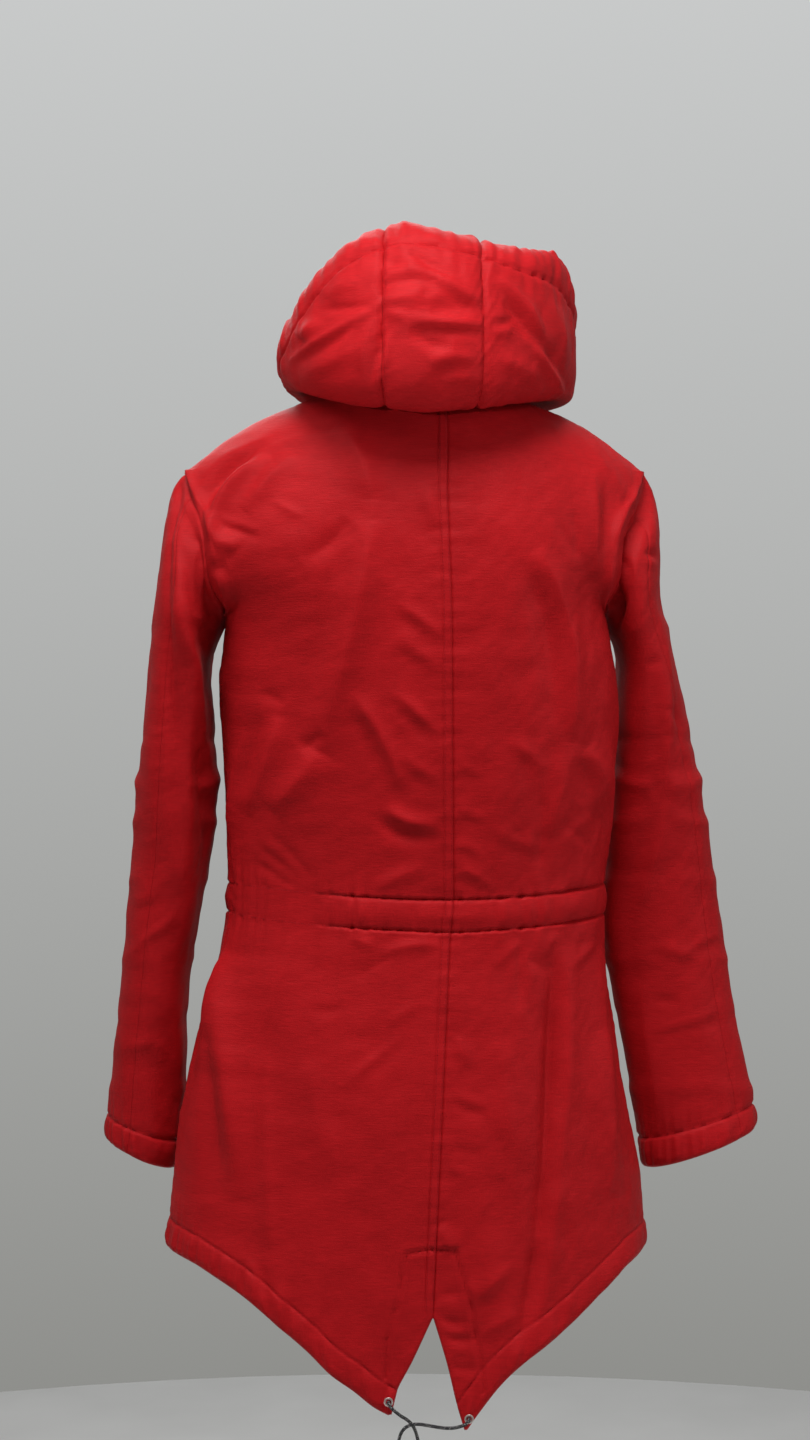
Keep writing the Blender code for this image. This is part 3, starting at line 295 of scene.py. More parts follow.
VENT_RIGHT = table("""
row     x     y    z
  5 -14.7   126 -794
5.5 -26.5 127.5 -833
  6 -34.5 128.5 -866
  7 -41.8   129 -890
""")

CENTRE_FRONT = table("""
row    x    y    z
  0   18  -88  -58
  1   18 -108 -115
  2   18 -124 -205
2.5   18 -121 -320
  3 17.5 -103 -438
  4   17 -103 -464
4.5 16.5 -115 -580
  5   16 -122 -690
  6   16 -124 -726
  7   16 -125 -752
""")

# turn: the way the cloth heads at the seam, from 0 outward to 90 straight to the front.
SHOULDER = table("""
row   x   y     z turn
  0  79   2     1   90
0.2 105 2.5  -8.5   89
0.4 130   3   -19   88
0.7 169 3.5 -40.5   84
  1 206   4 -69.5   76
""")

ARMHOLE_BACK = table("""
 row     x  y     z turn
   1   206  4 -69.5   76
1.22 198.5 40   -94   52
1.37   190 62  -112   42
1.49   184 74  -132   36
1.61 181.5 77  -155   34
 1.7 177.5 72  -173   40
1.84   169 52  -190   68
   2   163 12  -200  112
""")

ARMHOLE_FRONT = table("""
 row   x   y     z turn
   1 206   4 -69.5  104
1.15 199 -22   -86   60
 1.3 188 -45  -106   44
1.44 180 -60  -130   36
1.55 175 -64  -152   36
1.65 172 -57  -172   42
 1.8 167 -34  -190   62
   2 163  12  -200   68
""")

SIDE_LEFT = table("""
 row     x    y      z turn
   2   163   12   -200  112
2.12   169 15.5   -228  102
2.25 174.5 18.5   -256   88
2.38   171   21   -286   80
2.64   167   24   -348   76
   3 161.5   28   -434   70
   4   162   28   -460   70
4.27   179   26   -523   80
 4.5   195   24   -576   84
4.74   207   22   -630   86
   5   214   20   -685   88
   6   218   20   -728   88
   7 220.5   20 -752.5   88
""")

SIDE_RIGHT = table("""
 row     x   y    z turn
   2   163  12 -200  112
2.12 165.5 9.5 -228  122
 2.3   169   6 -270  126
 2.6   168   2 -345  118
   3   164  -2 -433  112
   4 164.5  -2 -462  110
4.27   169   0 -523  100
 4.5   178   2 -576   94
4.74   189   4 -630   94
   5 199.5   6 -690   94
   6   203   6 -733   94
   7 204.5   6 -757   94
""")

# The coat sits turned a little on its wearer: its right side lies further to the front.
RIGHT_SIDE_BACK = -0.0110

# The fishtail: how much of the drop from side to tail tip is left, across from tip to side.
TAIL_LEFT = table("""
across  drop
     0     1
  0.07  0.94
  0.16  0.83
  0.25 0.735
  0.36  0.57
  0.49 0.405
  0.62 0.245
  0.79   0.1
  0.87 0.048
     1     0
""")

TAIL_RIGHT = table("""
across  drop
     0     1
  0.07  0.88
  0.19   0.7
  0.31  0.57
  0.43  0.47
  0.54 0.375
  0.64  0.28
  0.73  0.19
  0.81  0.11
  0.88 0.045
     1     0
""")

# %% One quarter of the body
FELL_WIDTH = 0.0090      # the felled centre-back seam, from its ditch to its second stitch row
FRONT_EDGE = 0.0068      # from the centre-front line to the edge of each front
CENTRE_PULL, SIDE_PULL = 0.52, 0.56   # how far a row runs straight from its centre and its side
LEAST_SINE = 0.5         # keeps a row's last stretch short where it arrives at a slant
FELL_COLUMNS, BACK_COLUMNS, FRONT_COLUMNS = 20, 136, 60
FELL_REACH = 1.6         # the finer columns beside the centre back, in fell widths
ARMHOLE_ROWS = (1.0, 1.055, 1.11, 1.165, 1.22, 1.37, 1.52, 1.68, 1.84, 2.0)
STEPS_PER_ARMHOLE_ROW = 9
ROW_STEPS = {(0, 1): 45, (2, 3): 111, (3, 4): 24, (4, 5): 141, (5, 6): 36, (6, 7): 21}


def stretch(low, high):
    """The rows from one numbered place to the next, without the last of them."""
    return np.linspace(low, high, ROW_STEPS[(low, high)], endpoint=False)


armhole_steps = STEPS_PER_ARMHOLE_ROW * (len(ARMHOLE_ROWS) - 1)
armhole_rows = np.interp(np.linspace(0, len(ARMHOLE_ROWS) - 1, armhole_steps + 1),
                         np.arange(len(ARMHOLE_ROWS)), ARMHOLE_ROWS)
body_rows = np.concatenate([stretch(0, 1), armhole_rows[:-1], stretch(2, 3), stretch(3, 4),
                            stretch(4, 5), stretch(5, 6), stretch(6, 7), [7.0]])


def side_line(side, face, rows):
    """The side end of each row: shoulder seam, then armhole, then side seam, with its turn."""
    armhole = ARMHOLE_BACK if face > 0 else ARMHOLE_FRONT
    seam = SIDE_LEFT if side > 0 else SIDE_RIGHT
    points = np.zeros((len(rows), 3))
    turn = np.zeros(len(rows))
    for places, here in ((SHOULDER, rows < 1), (armhole, (rows >= 1) & (rows < 2)), (seam, rows >= 2)):
        points[here] = line(places, "row", rows[here])
        turn[here] = curve(places["row"], places["turn"], rows[here])
    if face < 0:
        on_seam = (rows < 1) | (rows >= 2)
        turn[on_seam] = 180 - turn[on_seam]
    if side < 0:
        points[:, 1] += RIGHT_SIDE_BACK * ease(rows)
        points[:, 0] *= -1
    return points, np.radians(turn)


def centre_line(side, face, rows):
    """The centre end of each row: the front's edge beside the zip, or the back seam and vent."""
    if face < 0:
        points = line(CENTRE_FRONT, "row", rows)
        points[:, 0] += side * FRONT_EDGE
        return points
    vent = VENT_LEFT if side > 0 else VENT_RIGHT
    return np.where((rows <= 5)[:, None], line(CENTRE_BACK, "row", rows), line(vent, "row", rows))


def quarter(side, face, rows):
    """Rows of points from centre to side, each a cubic Bezier curve seen from above.

    A row leaves the centre straight outward and reaches the side as the table's turn says. Its
    height eases from the centre's to the side's, and below the waist it follows the tail's table.
    """
    centre = centre_line(side, face, rows)
    edge, turn = side_line(side, face, rows)
    width = np.abs(edge[:, 0] - centre[:, 0])
    depth = np.abs(edge[:, 1] - centre[:, 1])
    if face < 0:
        u = np.tile(np.linspace(0, 1, FRONT_COLUMNS + 1), (len(rows), 1))
    else:
        strip = np.outer(FELL_WIDTH / (3 * CENTRE_PULL * width),
                         np.linspace(0, FELL_REACH, FELL_COLUMNS + 1))
        rest = np.linspace(0, 1, BACK_COLUMNS + 1)[1:]
        u = np.hstack([strip, strip[:, -1:] + (1 - strip[:, -1:]) * rest])
    heading = np.stack([side * np.cos(turn), -face * np.sin(turn)], axis=-1)
    reach = SIDE_PULL * depth / np.maximum(np.sin(turn), LEAST_SINE)
    leave = centre[:, :2] + np.stack([side * CENTRE_PULL * width, 0 * width], axis=-1)
    arrive = edge[:, :2] - heading * reach[:, None]
    t = u[:, :, None]
    flat = ((1 - t) ** 3 * centre[:, None, :2] + 3 * (1 - t) ** 2 * t * leave[:, None]
            + 3 * (1 - t) * t ** 2 * arrive[:, None] + t ** 3 * edge[:, None, :2])
    drop = 1 - ease(u)
    if face > 0:
        across = np.abs(flat[:, :, 0] - centre[:, None, 0]) / width[:, None]
        shape = TAIL_LEFT if side > 0 else TAIL_RIGHT
        drop = mix(drop, curve(shape["across"], shape["drop"], across), ease(rows - 4)[:, None])
    height = edge[:, None, 2] + (centre[:, None, 2] - edge[:, None, 2]) * drop
    return np.concatenate([flat, height[:, :, None]], axis=-1)


print(f"{len(body_rows)} rows down the body, {FELL_COLUMNS + BACK_COLUMNS + 1} columns across half a back")

# %% [markdown]
# ## Sleeves
# A sleeve is a tube of rings from the armhole to the cuff. Each ring is an ellipse whose outer and
# inner ends come from a table, so the tube bends and tilts as the arm hangs. Near the top the rings
# keep the armhole's own shape, which is how a sleeve head is eased into its armhole.

# %% Sizes of the sleeves' rings
# From the armhole (0) to the cuff's edge (1): the outer and inner ends of each ring, the y of
# its middle and half its depth.
SLEEVE_LEFT = table("""
  at x_out z_out  x_in   z_in y_mid depth
   0   206 -69.5   163   -200    10    70
0.06 216.5   -86   169   -207     8    72
0.13 222.5  -112 173.5 -215.5     6    71
0.22 227.5  -160 178.5   -227     4    69
0.32   235  -222 183.5   -246     0    65
0.42   242  -290   180   -300    -4    62
0.52 248.5  -345 176.5   -350    -8    59
 0.6   253  -400   181   -402   -12    56
 0.7 258.5  -455 192.5   -460   -17    53
 0.8 264.5  -525 203.5   -532   -23    51
 0.9   273  -598 207.5   -612   -29    49
0.96 277.5  -645   211   -668   -32    48
   1   279  -667   215   -694   -33    47
""")

SLEEVE_RIGHT = table("""
  at x_out z_out  x_in   z_in y_mid depth
   0   206 -66.5   163   -200    -1    70
0.06 213.5   -84   169 -206.5    -4    71
0.13   218  -112   174 -214.5    -7    69
0.22 218.5  -165 178.5   -227   -12    66
0.32 230.5  -225 181.5   -246   -17    62
0.42 245.5  -290 179.5   -300   -22    57
0.52 256.5  -345 177.5   -350   -26    52
 0.6 266.5  -400 172.5   -402   -29    47
 0.7   275  -455   172   -460   -31    43
 0.8 284.5  -520 179.5   -532   -33    41
 0.9   298  -593   193   -612   -34    40
0.96 306.5  -637 202.5   -668   -35    41
   1 308.5  -659   209 -694.6   -35    42
""")

SLEEVE_STEPS = 240         # rings down to the cuff's stitches
CUFF_STEPS = 30
CUFF_START = 0.96
HEAD_ENDS = 0.22           # where a ring no longer follows the armhole's shape
SLEEVE_TWIST = {1: 0.10, -1: -0.55}   # how far each sleeve's rings turn, in radians, left and right
TWIST_ENDS = 0.6           # where they have turned so far
sleeve_stations = np.concatenate([np.linspace(0, CUFF_START, SLEEVE_STEPS, endpoint=False),
                                  np.linspace(CUFF_START, 1, CUFF_STEPS + 1)])
SEAM_COLUMNS = (4 * STEPS_PER_ARMHOLE_ROW, 14 * STEPS_PER_ARMHOLE_ROW)


def armhole_ring(side):
    """The armhole's edge as a closed ring that starts and ends at the shoulder tip."""
    ring = np.concatenate([side_line(side, 1, armhole_rows)[0],
                           side_line(side, -1, armhole_rows)[0][-2::-1]])
    return ring[::-1] if side > 0 else ring


def sleeve_grid(side, stations):
    """Ellipses down the arm: x and z swing between the outer and inner ends by the angle's cosine,
    y by its sine, and near the armhole each point keeps its own difference from the first ellipse.
    """
    sizes = SLEEVE_LEFT if side > 0 else SLEEVE_RIGHT
    ring = armhole_ring(side)
    x_out, z_out, x_in, z_in, y_mid, depth = (
        curve(sizes["at"], sizes[name], stations)[:, None]
        for name in ("x_out", "z_out", "x_in", "z_in", "y_mid", "depth"))
    turn = np.linspace(0, 2 * np.pi, len(ring)) + SLEEVE_TWIST[side] * ease(stations / TWIST_ENDS)[:, None]
    out, back = np.cos(turn), -side * np.sin(turn)
    free = np.stack([side * ((x_out + x_in) / 2 + (x_out - x_in) / 2 * out), y_mid + depth * back,
                     (z_out + z_in) / 2 + (z_out - z_in) / 2 * out], axis=-1)
    kept = 1 - ease(stations / HEAD_ENDS)[:, None, None]
    return free + kept * (ring - free[0])[None]

# %% [markdown]
# ## Hood
# The hood hangs behind the neck like an open bag: up from the neck seam over a low ridge, down
# inside, out underneath and up the back to its rim. Rings round that bag are ellipses again, with
# their sizes in a table, and the way round turns back a little so that the sides fall behind the
# shoulders.

# %% Sizes of the hood's rings
HOOD = table("""
back_y back_z left_x left_z right_x right_z front_y front_z
    78    -14     79      1      79       1      88     -58
    83      4     83     12      83      13    89.5     -50
  88.5     14     88     18      89      20      91     -42
    95      5     93     13      95      14    92.5     -34
   101    -14     97      4     101       4      94     -27
   112    -27    103      0     112      -2      95     -21
   129    -31    112      2     127      -8      96     -15
   146    -17    119      9     139      -4    96.5     -10
   156     13    121     19     144      16    96.5      -5
   157     47  120.5     28   143.5      40      96       0
   150     81    119     35     141      62      95       4
   135    111    117     41     138      81    93.5       8
   115    128  115.5     47     137      86    91.5      11
    98    137  112.5     50   133.5      91    89.5      12
""")
HOOD_STEPS, RIM_STEPS = 126, 24
RIM_RING = 12                  # the rim casing's stitch row, and its edge one ring further
HOOD_TURN, TURN_RINGS = 0.27, 6   # how far the bag has turned back, and by which ring
NECK_RINGS = 3                 # over these rings the hood leaves the neck seam's own shape
HOOD_HALF_PANEL = 0.0265       # from the neck's centre back to each side seam
FRONT_SPREAD = 0.045           # its front edges stay straight over this much of the front
hood_rings = np.concatenate([np.linspace(0, RIM_RING, HOOD_STEPS, endpoint=False),
                             np.linspace(RIM_RING, RIM_RING + 1, RIM_STEPS + 1)])


def hood_grid(neck, rings):
    """Ellipses round the neck: x by the sine of the angle, y by its cosine, and a height that mixes
    the side's and the end's by the squares of both."""
    place = np.arange(len(HOOD["back_y"]))
    size = {name: curve(place, HOOD[name], rings)[:, None] for name in HOOD}
    long = np.where(neck[:, 1] > 0, HOOD["back_y"][0], HOOD["front_y"][0])
    angle = np.arctan2(neck[:, 0] / HOOD["left_x"][0], neck[:, 1] / long)
    angle = angle + HOOD_TURN * (1 + np.cos(angle)) / 2 * ease(rings / TURN_RINGS)[:, None]
    sine, cosine = np.sin(angle), np.cos(angle)
    x = np.where(sine > 0, size["left_x"], size["right_x"]) * sine
    from_edge = np.minimum(np.abs(neck[:, 0] - neck[0, 0]), np.abs(neck[:, 0] - neck[-1, 0]))
    at_front = np.where(neck[:, 1] > 0, 1.0, ease(from_edge / FRONT_SPREAD))
    x = neck[:, 0] + (x - neck[:, 0]) * at_front
    y = np.where(cosine > 0, size["back_y"], size["front_y"]) * cosine
    sides = np.where(sine > 0, size["left_z"], size["right_z"]) * sine ** 2
    ends = np.where(cosine > 0, size["back_z"], size["front_z"]) * cosine ** 2
    rising = np.stack([x, y, sides + ends], axis=-1)
    kept = 1 - ease(rings / NECK_RINGS)[:, None, None]
    return rising + kept * (neck - rising[0])[None]

# %% Soften the form between its seams
SOFTEN_ROUNDS = 260      # each round averages a row with its neighbours
SOFTEN_FROM = 0.045      # full softening this far in from the seams


def edge_distances(grid):
    """How far each point lies from the grid's top, bottom, first and last edges, along the cloth."""
    down = np.linalg.norm(np.diff(grid, axis=0), axis=-1)
    across = np.linalg.norm(np.diff(grid, axis=1), axis=-1)
    top = np.concatenate([np.zeros((1, grid.shape[1])), np.cumsum(down, axis=0)])
    first = np.concatenate([np.zeros((grid.shape[0], 1)), np.cumsum(across, axis=1)], axis=1)
    return {"top": top, "bottom": top[-1] - top, "first": first, "last": first[:, -1:] - first}


def softened(grid):
    """Rows averaged with their neighbours many times (a quarter, a half, a quarter), by a share
    that eases from nothing at the grid's edges to all of it further in."""
    far = edge_distances(grid)
    share = np.prod([ease(far[edge] / SOFTEN_FROM) for edge in far], axis=0)[..., None]
    even = grid.copy()
    for _ in range(SOFTEN_ROUNDS):
        even[1:-1] = 0.25 * even[:-2] + 0.5 * even[1:-1] + 0.25 * even[2:]
    return mix(grid, even, share)

# %% Pull the hood's rim to its worn line
# How much higher the rim lies than its even ring, from the wearer's right to the left: its right
# corner is pinched up, and it sags a little between that corner and the top.
RIM_LIFT = table("""
   x   up
-150    4
-136   11
-128   17
-119   19
-110 12.5
 -98    5
 -80   -2
 -52   -6
 -32 -7.5
 -12 -5.5
  15   -1
  40    2
  62  4.5
  90    6
 130    4
""")
RIM_LIFT_REACH = 0.085   # how far below the rim the cloth still follows it
RIM_FRONT, RIM_BACK = -0.03, 0.03    # between these depths the lift grows from nothing to all


def with_worn_rim(grid):
    """Each point of the back half rises by the table's value at its x, less the further below."""
    down = edge_distances(grid)["top"]
    share = (1 - ease(down / RIM_LIFT_REACH)) * ease((grid[..., 1] - RIM_FRONT) / (RIM_BACK - RIM_FRONT))
    raised = grid.copy()
    raised[..., 2] += share * np.interp(grid[..., 0], RIM_LIFT["x"], RIM_LIFT["up"])
    return raised

# %% All seven grids
back_left = softened(quarter(1, 1, body_rows))
front_left = softened(quarter(1, -1, body_rows)[:, ::-1])
front_right = softened(quarter(-1, -1, body_rows))
back_right = softened(quarter(-1, 1, body_rows)[:, ::-1])
neck_line = np.concatenate([front_right[0], back_right[0, 1:], back_left[0, 1:], front_left[0, 1:]])
base = {"back_left": back_left, "front_left": front_left, "front_right": front_right,
        "back_right": back_right, "sleeve_left": sleeve_grid(1, sleeve_stations),
        "sleeve_right": sleeve_grid(-1, sleeve_stations),
        "hood": with_worn_rim(hood_grid(neck_line, hood_rings)[::-1])}
for name, grid in base.items():
    print(f"{name}: {grid.shape[0]} by {grid.shape[1]} points")

# %% [markdown]
# ## Which way is out
# Folds and seams are moves along the cloth's own outward direction. Two panels that share a seam must
# agree on it there, or a gap opens, so each seam takes the mean of both sides, and that correction
# fades away over a finger's width. The heights of folds and seams are matched the same way later.

# %% Values that agree at the seams
SEAM_BLEND = 0.014
SAME_PLACE = 5           # points that agree to this many decimals of a metre are sewn together
EDGES = {"top": np.s_[0:1, :], "bottom": np.s_[-1:, :], "first": np.s_[:, 0:1], "last": np.s_[:, -1:]}
distance = {name: edge_distances(grid) for name, grid in base.items()}
all_points = np.concatenate([grid.reshape(-1, 3) for grid in base.values()])
meeting = np.unique(np.round(all_points, SAME_PLACE), axis=0, return_inverse=True)[1].ravel()


def grid_normals(grid):
    """The step across crossed with the step down, with length one."""
    return unit(np.cross(np.gradient(grid, axis=1), np.gradient(grid, axis=0)))


def sewn_together(own, rule=np.asarray):
    """Own values plus, near each edge, the difference from the mean of all that meet there."""
    flat = np.concatenate([own[name].reshape(-1, own[name].shape[2]) for name in base])
    total = np.stack([np.bincount(meeting, column) for column in flat.T], axis=-1)
    mean = rule(total / np.bincount(meeting)[:, None])[meeting]
    sewn, start = {}, 0
    for name in base:
        values = own[name]
        count = values.shape[0] * values.shape[1]
        shared = mean[start:start + count].reshape(values.shape)
        start += count
        pull, weight = np.zeros_like(values), np.full((*values.shape[:2], 1), 1e-9)
        for edge, where in EDGES.items():
            fade = 1 - ease(distance[name][edge] / SEAM_BLEND)[..., None]
            pull += fade ** 2 * (shared - values)[where]
            weight += fade
        sewn[name] = rule(values + pull / weight)
        for where in EDGES.values():
            sewn[name][where] = shared[where]
    return sewn


outward = sewn_together({name: grid_normals(grid) for name, grid in base.items()}, unit)
print("directions worked out for", len(all_points), "points")

# %% [markdown]
# ## Folds and creases
# Worn cloth creases where it is pulled: from the armholes to the waist, out of each drawn casing, at
# the elbows. Each crease here is given as a short curve on the picture's plane with a height, a half
# width and a lean, which puts a shallow trough beside the crest so that one flank is steeper.
# Points find their nearest place on the curve, and the crease is a bell across it that rises and
# sinks along it. The hidden front and sides get creases of the same kinds.

# %% Creases of the back, above and below the waist
BACK_CREASES = table("""
  x0   z0   x1   z1   x2   z2   up wide lean
  68  -35   37  -62   36 -120    3   11    0
  36 -103   42 -205   83 -317  4.5   12  0.3
  83 -317   98 -345  125 -368    3   11    0
  54 -267   23 -303   11 -351    3    6  0.3
  25 -363   11 -382  -23 -378  3.5    6  0.8
  15 -190   -4 -203  -22 -219    2    5  0.5
  18 -266   -4 -285  -23 -304  2.4    5  0.5
  15 -219   -4 -235  -22 -245  1.3    5  0.5
  13 -317   -4 -333  -23 -343  1.4    5  0.5
  -8  -86  -11 -107  -19 -128  1.6    6  0.3
 187  -93  162  -72  137  -54 -3.6    4    0
 125  -42  159  -52  186  -77    3    5 -0.6
 125  -61  168  -78  182 -141  5.5    7  0.9
 180 -137  183 -158  195 -188    4    6 -0.3
 105  -59  125  -82  148 -110  2.5    8  0.3
 171 -121  153 -127  133 -134 -2.6    3 -0.5
 173 -139  161 -135  153 -144  2.4    7    0
 181 -154  171 -162  161 -159 -2.5    5  0.5
 124 -101  110 -109   95 -117  1.8    4    0
  97 -154   73 -142   56 -120   -2    7    0
  60  -38  107  -45  153  -62  1.8    4 -0.4
 117 -287  124 -324  147 -373  3.2    9  0.5
 136 -268  122 -269  112 -278 -1.8    5    0
  78 -300   88 -309   98 -317   -2    6    0
 139 -397  122 -411   98 -426 -1.4    4  0.4
 142 -411  125 -421  102 -436 -1.4    4  0.4
 131 -385  107 -401   88 -429 -1.3    4  0.4
-104 -144 -148 -215 -133 -309  3.4    9  0.8
-138 -309 -123 -350 -116 -392  1.6    8  0.3
-133 -110 -142 -133 -138 -156 -2.4    4 -0.5
-120 -118 -133 -137 -138 -151 -1.8    4 -0.5
-154  -71 -155 -116 -155 -169  3.2    6 -0.8
-165 -116 -167 -154 -171 -190  2.6    5    0
 -79 -309  -97 -314 -111 -334  1.5    5  0.3
-148 -314 -171 -341 -155 -370  3.4    7  0.7
-159 -368 -142 -380 -123 -401  1.8    4  0.3
-128 -380 -142 -389 -155 -401 -1.6    4  0.3
 -34 -327  -46 -331  -58 -338  1.2    4  0.4
 -34 -365  -48 -368  -60 -377  1.3    4  0.4
 -34 -395  -46 -397  -60 -406  1.3    4  0.4
 -67 -380  -85 -399 -116 -399  1.4    5  0.4
-111 -356 -110 -384 -106 -429   -2    5  0.4
 -36  -62  -89  -57 -150  -61  0.9    3    0
-160  -59 -174  -81 -189 -103  1.6    5  0.3
 -34 -416  -51 -419  -69 -436  1.8    5  0.4
  -7 -416   10 -419   34 -435  1.6    5  0.4
""")

SKIRT_CREASES = table("""
  x0   z0   x1   z1   x2   z2   up wide lean
  55 -475   47 -481   33 -483  1.8    4    0
  30 -491    5 -478  -22 -483  2.2    4 -0.4
  51 -514   34 -495   11 -491 -1.5    5    0
 105 -478  115 -506  133 -558  1.5    3  0.3
  62 -605   45 -583    6 -556  1.7    4  0.3
  25 -550   11 -541   -2 -530  1.2    4  0.3
  93 -537   76 -541   59 -535 -1.3    4    0
  74 -630   70 -652   65 -678    1    5    0
 174 -495  167 -599  149 -701  4.5   13  0.7
 179 -557  176 -620  169 -684 -2.5    8    0
 130 -574  130 -679  121 -761  1.6    8  0.3
  89 -578   83 -629   72 -688  1.2   12    0
 130 -791  136 -773  140 -749    2    4  0.4
 121 -800  126 -778  130 -754   -2    4  0.4
 113 -805  115 -781  111 -764    2    4  0.4
 143 -781  149 -766  150 -749 -1.4    4  0.4
  98 -811   93 -796   79 -781  1.4    5  0.4
 -19 -773  -31 -776  -44 -771 -1.8    4  0.5
 -18 -793  -33 -801  -46 -798 -2.4    4  0.5
 -23 -808  -38 -815  -55 -811 -2.4    4  0.5
 -29 -835  -39 -837  -53 -835 -1.6    4  0.5
 -46 -781  -63 -767  -82 -749  1.8    6  0.3
 -55 -806  -72 -800  -85 -789  1.6    6  0.3
 -36 -558  -39 -569  -46 -585  1.6    5  0.3
 -29 -613  -44 -623  -61 -624 -2.2    4 -0.8
 -31 -652  -44 -657  -60 -656 -1.4    4 -0.4
 -28 -668  -34 -671  -44 -673  1.2    4  0.3
 -22 -715  -26 -729  -31 -739    2    7    0
-119 -480 -122 -595 -104 -730   -6    6 -0.7
-110 -679 -104 -756  -85 -823   -4    6 -0.6
-138 -485 -141 -595 -132 -722    3   16    0
 -89 -471  -91 -502  -88 -539 -2.6    4 -0.4
 -68 -502  -78 -490  -90 -480  1.8    4  0.3
 -95 -495 -109 -500 -116 -510   -2    4  0.3
-131 -507 -144 -495 -160 -483  1.8    4  0.3
-122 -473 -116 -481 -112 -495    2    4    0
 -72 -561  -80 -612  -77 -679  1.2   14    0
-156 -561 -166 -629 -171 -705  2.4   10  0.4
 -46 -688  -60 -739  -61 -781  1.5   12    0
""")

# %% Creases of the hood and of the sleeves' backs
HOOD_CREASES = table("""
  x0   z0   x1   z1   x2   z2   up wide lean
  83   57   59   55   36   56   -4    4    0
 110   20   75   31   38   53  3.6    5  0.7
  75   66   63   76   45   76  1.4    8    0
  96   35   91   41   81   50  2.5    8    0
 100    3   71   11   41   22  1.4    9    0
  41   50   55   33   65   18  1.8    5  0.3
  36   45   45   22   46    0  1.6    6  0.3
  26   91   17   91    6   90 -2.2    6    0
   5  103  -10   91  -30   79 -3.6    5    0
 -12   85  -30   70  -57   60  3.2    6  0.4
  36   69   11   80  -20   74 -4.2    4    0
  26   85    6   88  -17   81    2    5    0
  33   60   15   58   -7   65    3    6  0.3
  13   53  -10   58  -27   66  1.8    4  0.3
  31   50   16   48    3   41  2.4    5  0.3
   5   42  -25   40  -61   40  4.6    5  0.7
 -12   51  -37   55  -59   53   -2    9    0
  22   31   26   10   32  -14  3.2    5  0.8
   5   35  -12   20  -30   21   -2    7  0.3
 -10    5  -27   15  -52   11  2.2    7  0.3
 -20  -10  -39    0  -62   -9  1.2    8    0
 -69   83  -98   63 -112   23  3.4    7  0.8
 -75   60  -87   55  -98   41 -1.6    6    0
 -88   38 -110   16 -136  -17  3.6    6 -0.8
 -64   42  -75   42  -88   50 -3.2    4 -0.5
 -65   34  -73   35  -82   40  2.2    5    0
 -70   16  -87    8 -110    0  1.4    9    0
-120   68 -127   43 -130   18  1.8    8    0
""")

SLEEVE_CREASES = table("""
  x0   z0   x1   z1   x2   z2   up wide lean
 202  -87  214 -346  201 -501    4   13   -1
 202 -180  194 -277  171 -363    4    9  0.5
 213 -135  209 -260  208 -420 -6.5    5 -0.8
 207  -75  216 -120  214 -190   -5    4 -0.6
 199 -194  185 -209  169 -201  1.8    4  0.4
 192 -219  181 -230  171 -221 -1.6    4  0.3
 201 -127  192 -138  185 -136 -1.8    4    0
 199 -341  187 -352  173 -348  1.4    5  0.3
 258 -502  233 -479  210 -462  1.6    4  0.4
 254 -454  235 -446  215 -428    1    5  0.3
 263 -584  243 -573  220 -579  1.2    5  0.3
 235 -272  228 -343  226 -414  1.2   10    0
 261 -547  258 -591  259 -635    1    9    0
 217 -525  212 -582  208 -635  1.6    8  0.3
-201 -141 -208 -147 -216 -144 -3.6    4  0.6
-218 -192 -225 -272 -222 -361  2.8    6  0.4
-222 -361 -215 -415 -201 -455  1.8    7  0.3
-220 -277 -227 -286 -238 -299 -1.8    4  0.3
-201 -244 -209 -238 -218 -240 -1.4    4  0.3
-233 -504 -254 -484 -275 -482  1.8    4  0.4
-211 -490 -233 -495 -254 -502  1.4    5  0.3
-209 -541 -222 -538 -238 -543 -1.6    4  0.3
-211 -568 -240 -559 -274 -550  1.8    4  0.5
-218 -616 -245 -622 -272 -609    1    6  0.3
-245 -326 -254 -388 -256 -450  1.2    9    0
-201 -522 -209 -593 -222 -655  1.6    8    0
""")

# %% Creases of the front and the sides, which the picture doesn't show
# For a side, the two measures are y and z.
FRONT_CREASES = table("""
  x0   z0   x1   z1   x2   z2   up wide lean
 150 -110  120 -190   70 -300  3.5   12  0.4
 160 -170  130 -250   95 -340    3   10  0.3
-140 -120 -110 -200  -60 -290  3.5   12  0.4
-155 -180 -120 -260  -80 -350    3    9 -0.3
  60 -130   55 -200   50 -280    2   12    0
 -30 -140  -28 -210  -35 -290  1.8   12    0
 110 -355  100 -385   85 -425 -2.4    5  0.4
 135 -370  130 -400  118 -430   -2    5  0.3
  60 -380   56 -405   50 -430  1.8    5  0.3
 -50 -375  -46 -400  -40 -430  1.8    5  0.3
 -90 -360  -84 -390  -70 -428 -2.4    5  0.4
-125 -365 -120 -395 -110 -428   -2    5  0.4
  90 -475  100 -560  112 -700   -4    9 -0.5
 130 -480  142 -580  160 -710  3.5   14  0.4
  55 -480   58 -560   62 -680  2.4   12  0.3
 -40 -480  -46 -560  -50 -670  2.2   12  0.3
 -85 -478  -95 -570 -108 -700   -4    9  0.5
-125 -480 -138 -590 -150 -715  3.5   14 -0.4
  40 -520   60 -530   85 -522  1.6    5  0.3
 -20 -600  -40 -606  -65 -600  1.4    5  0.3
""")

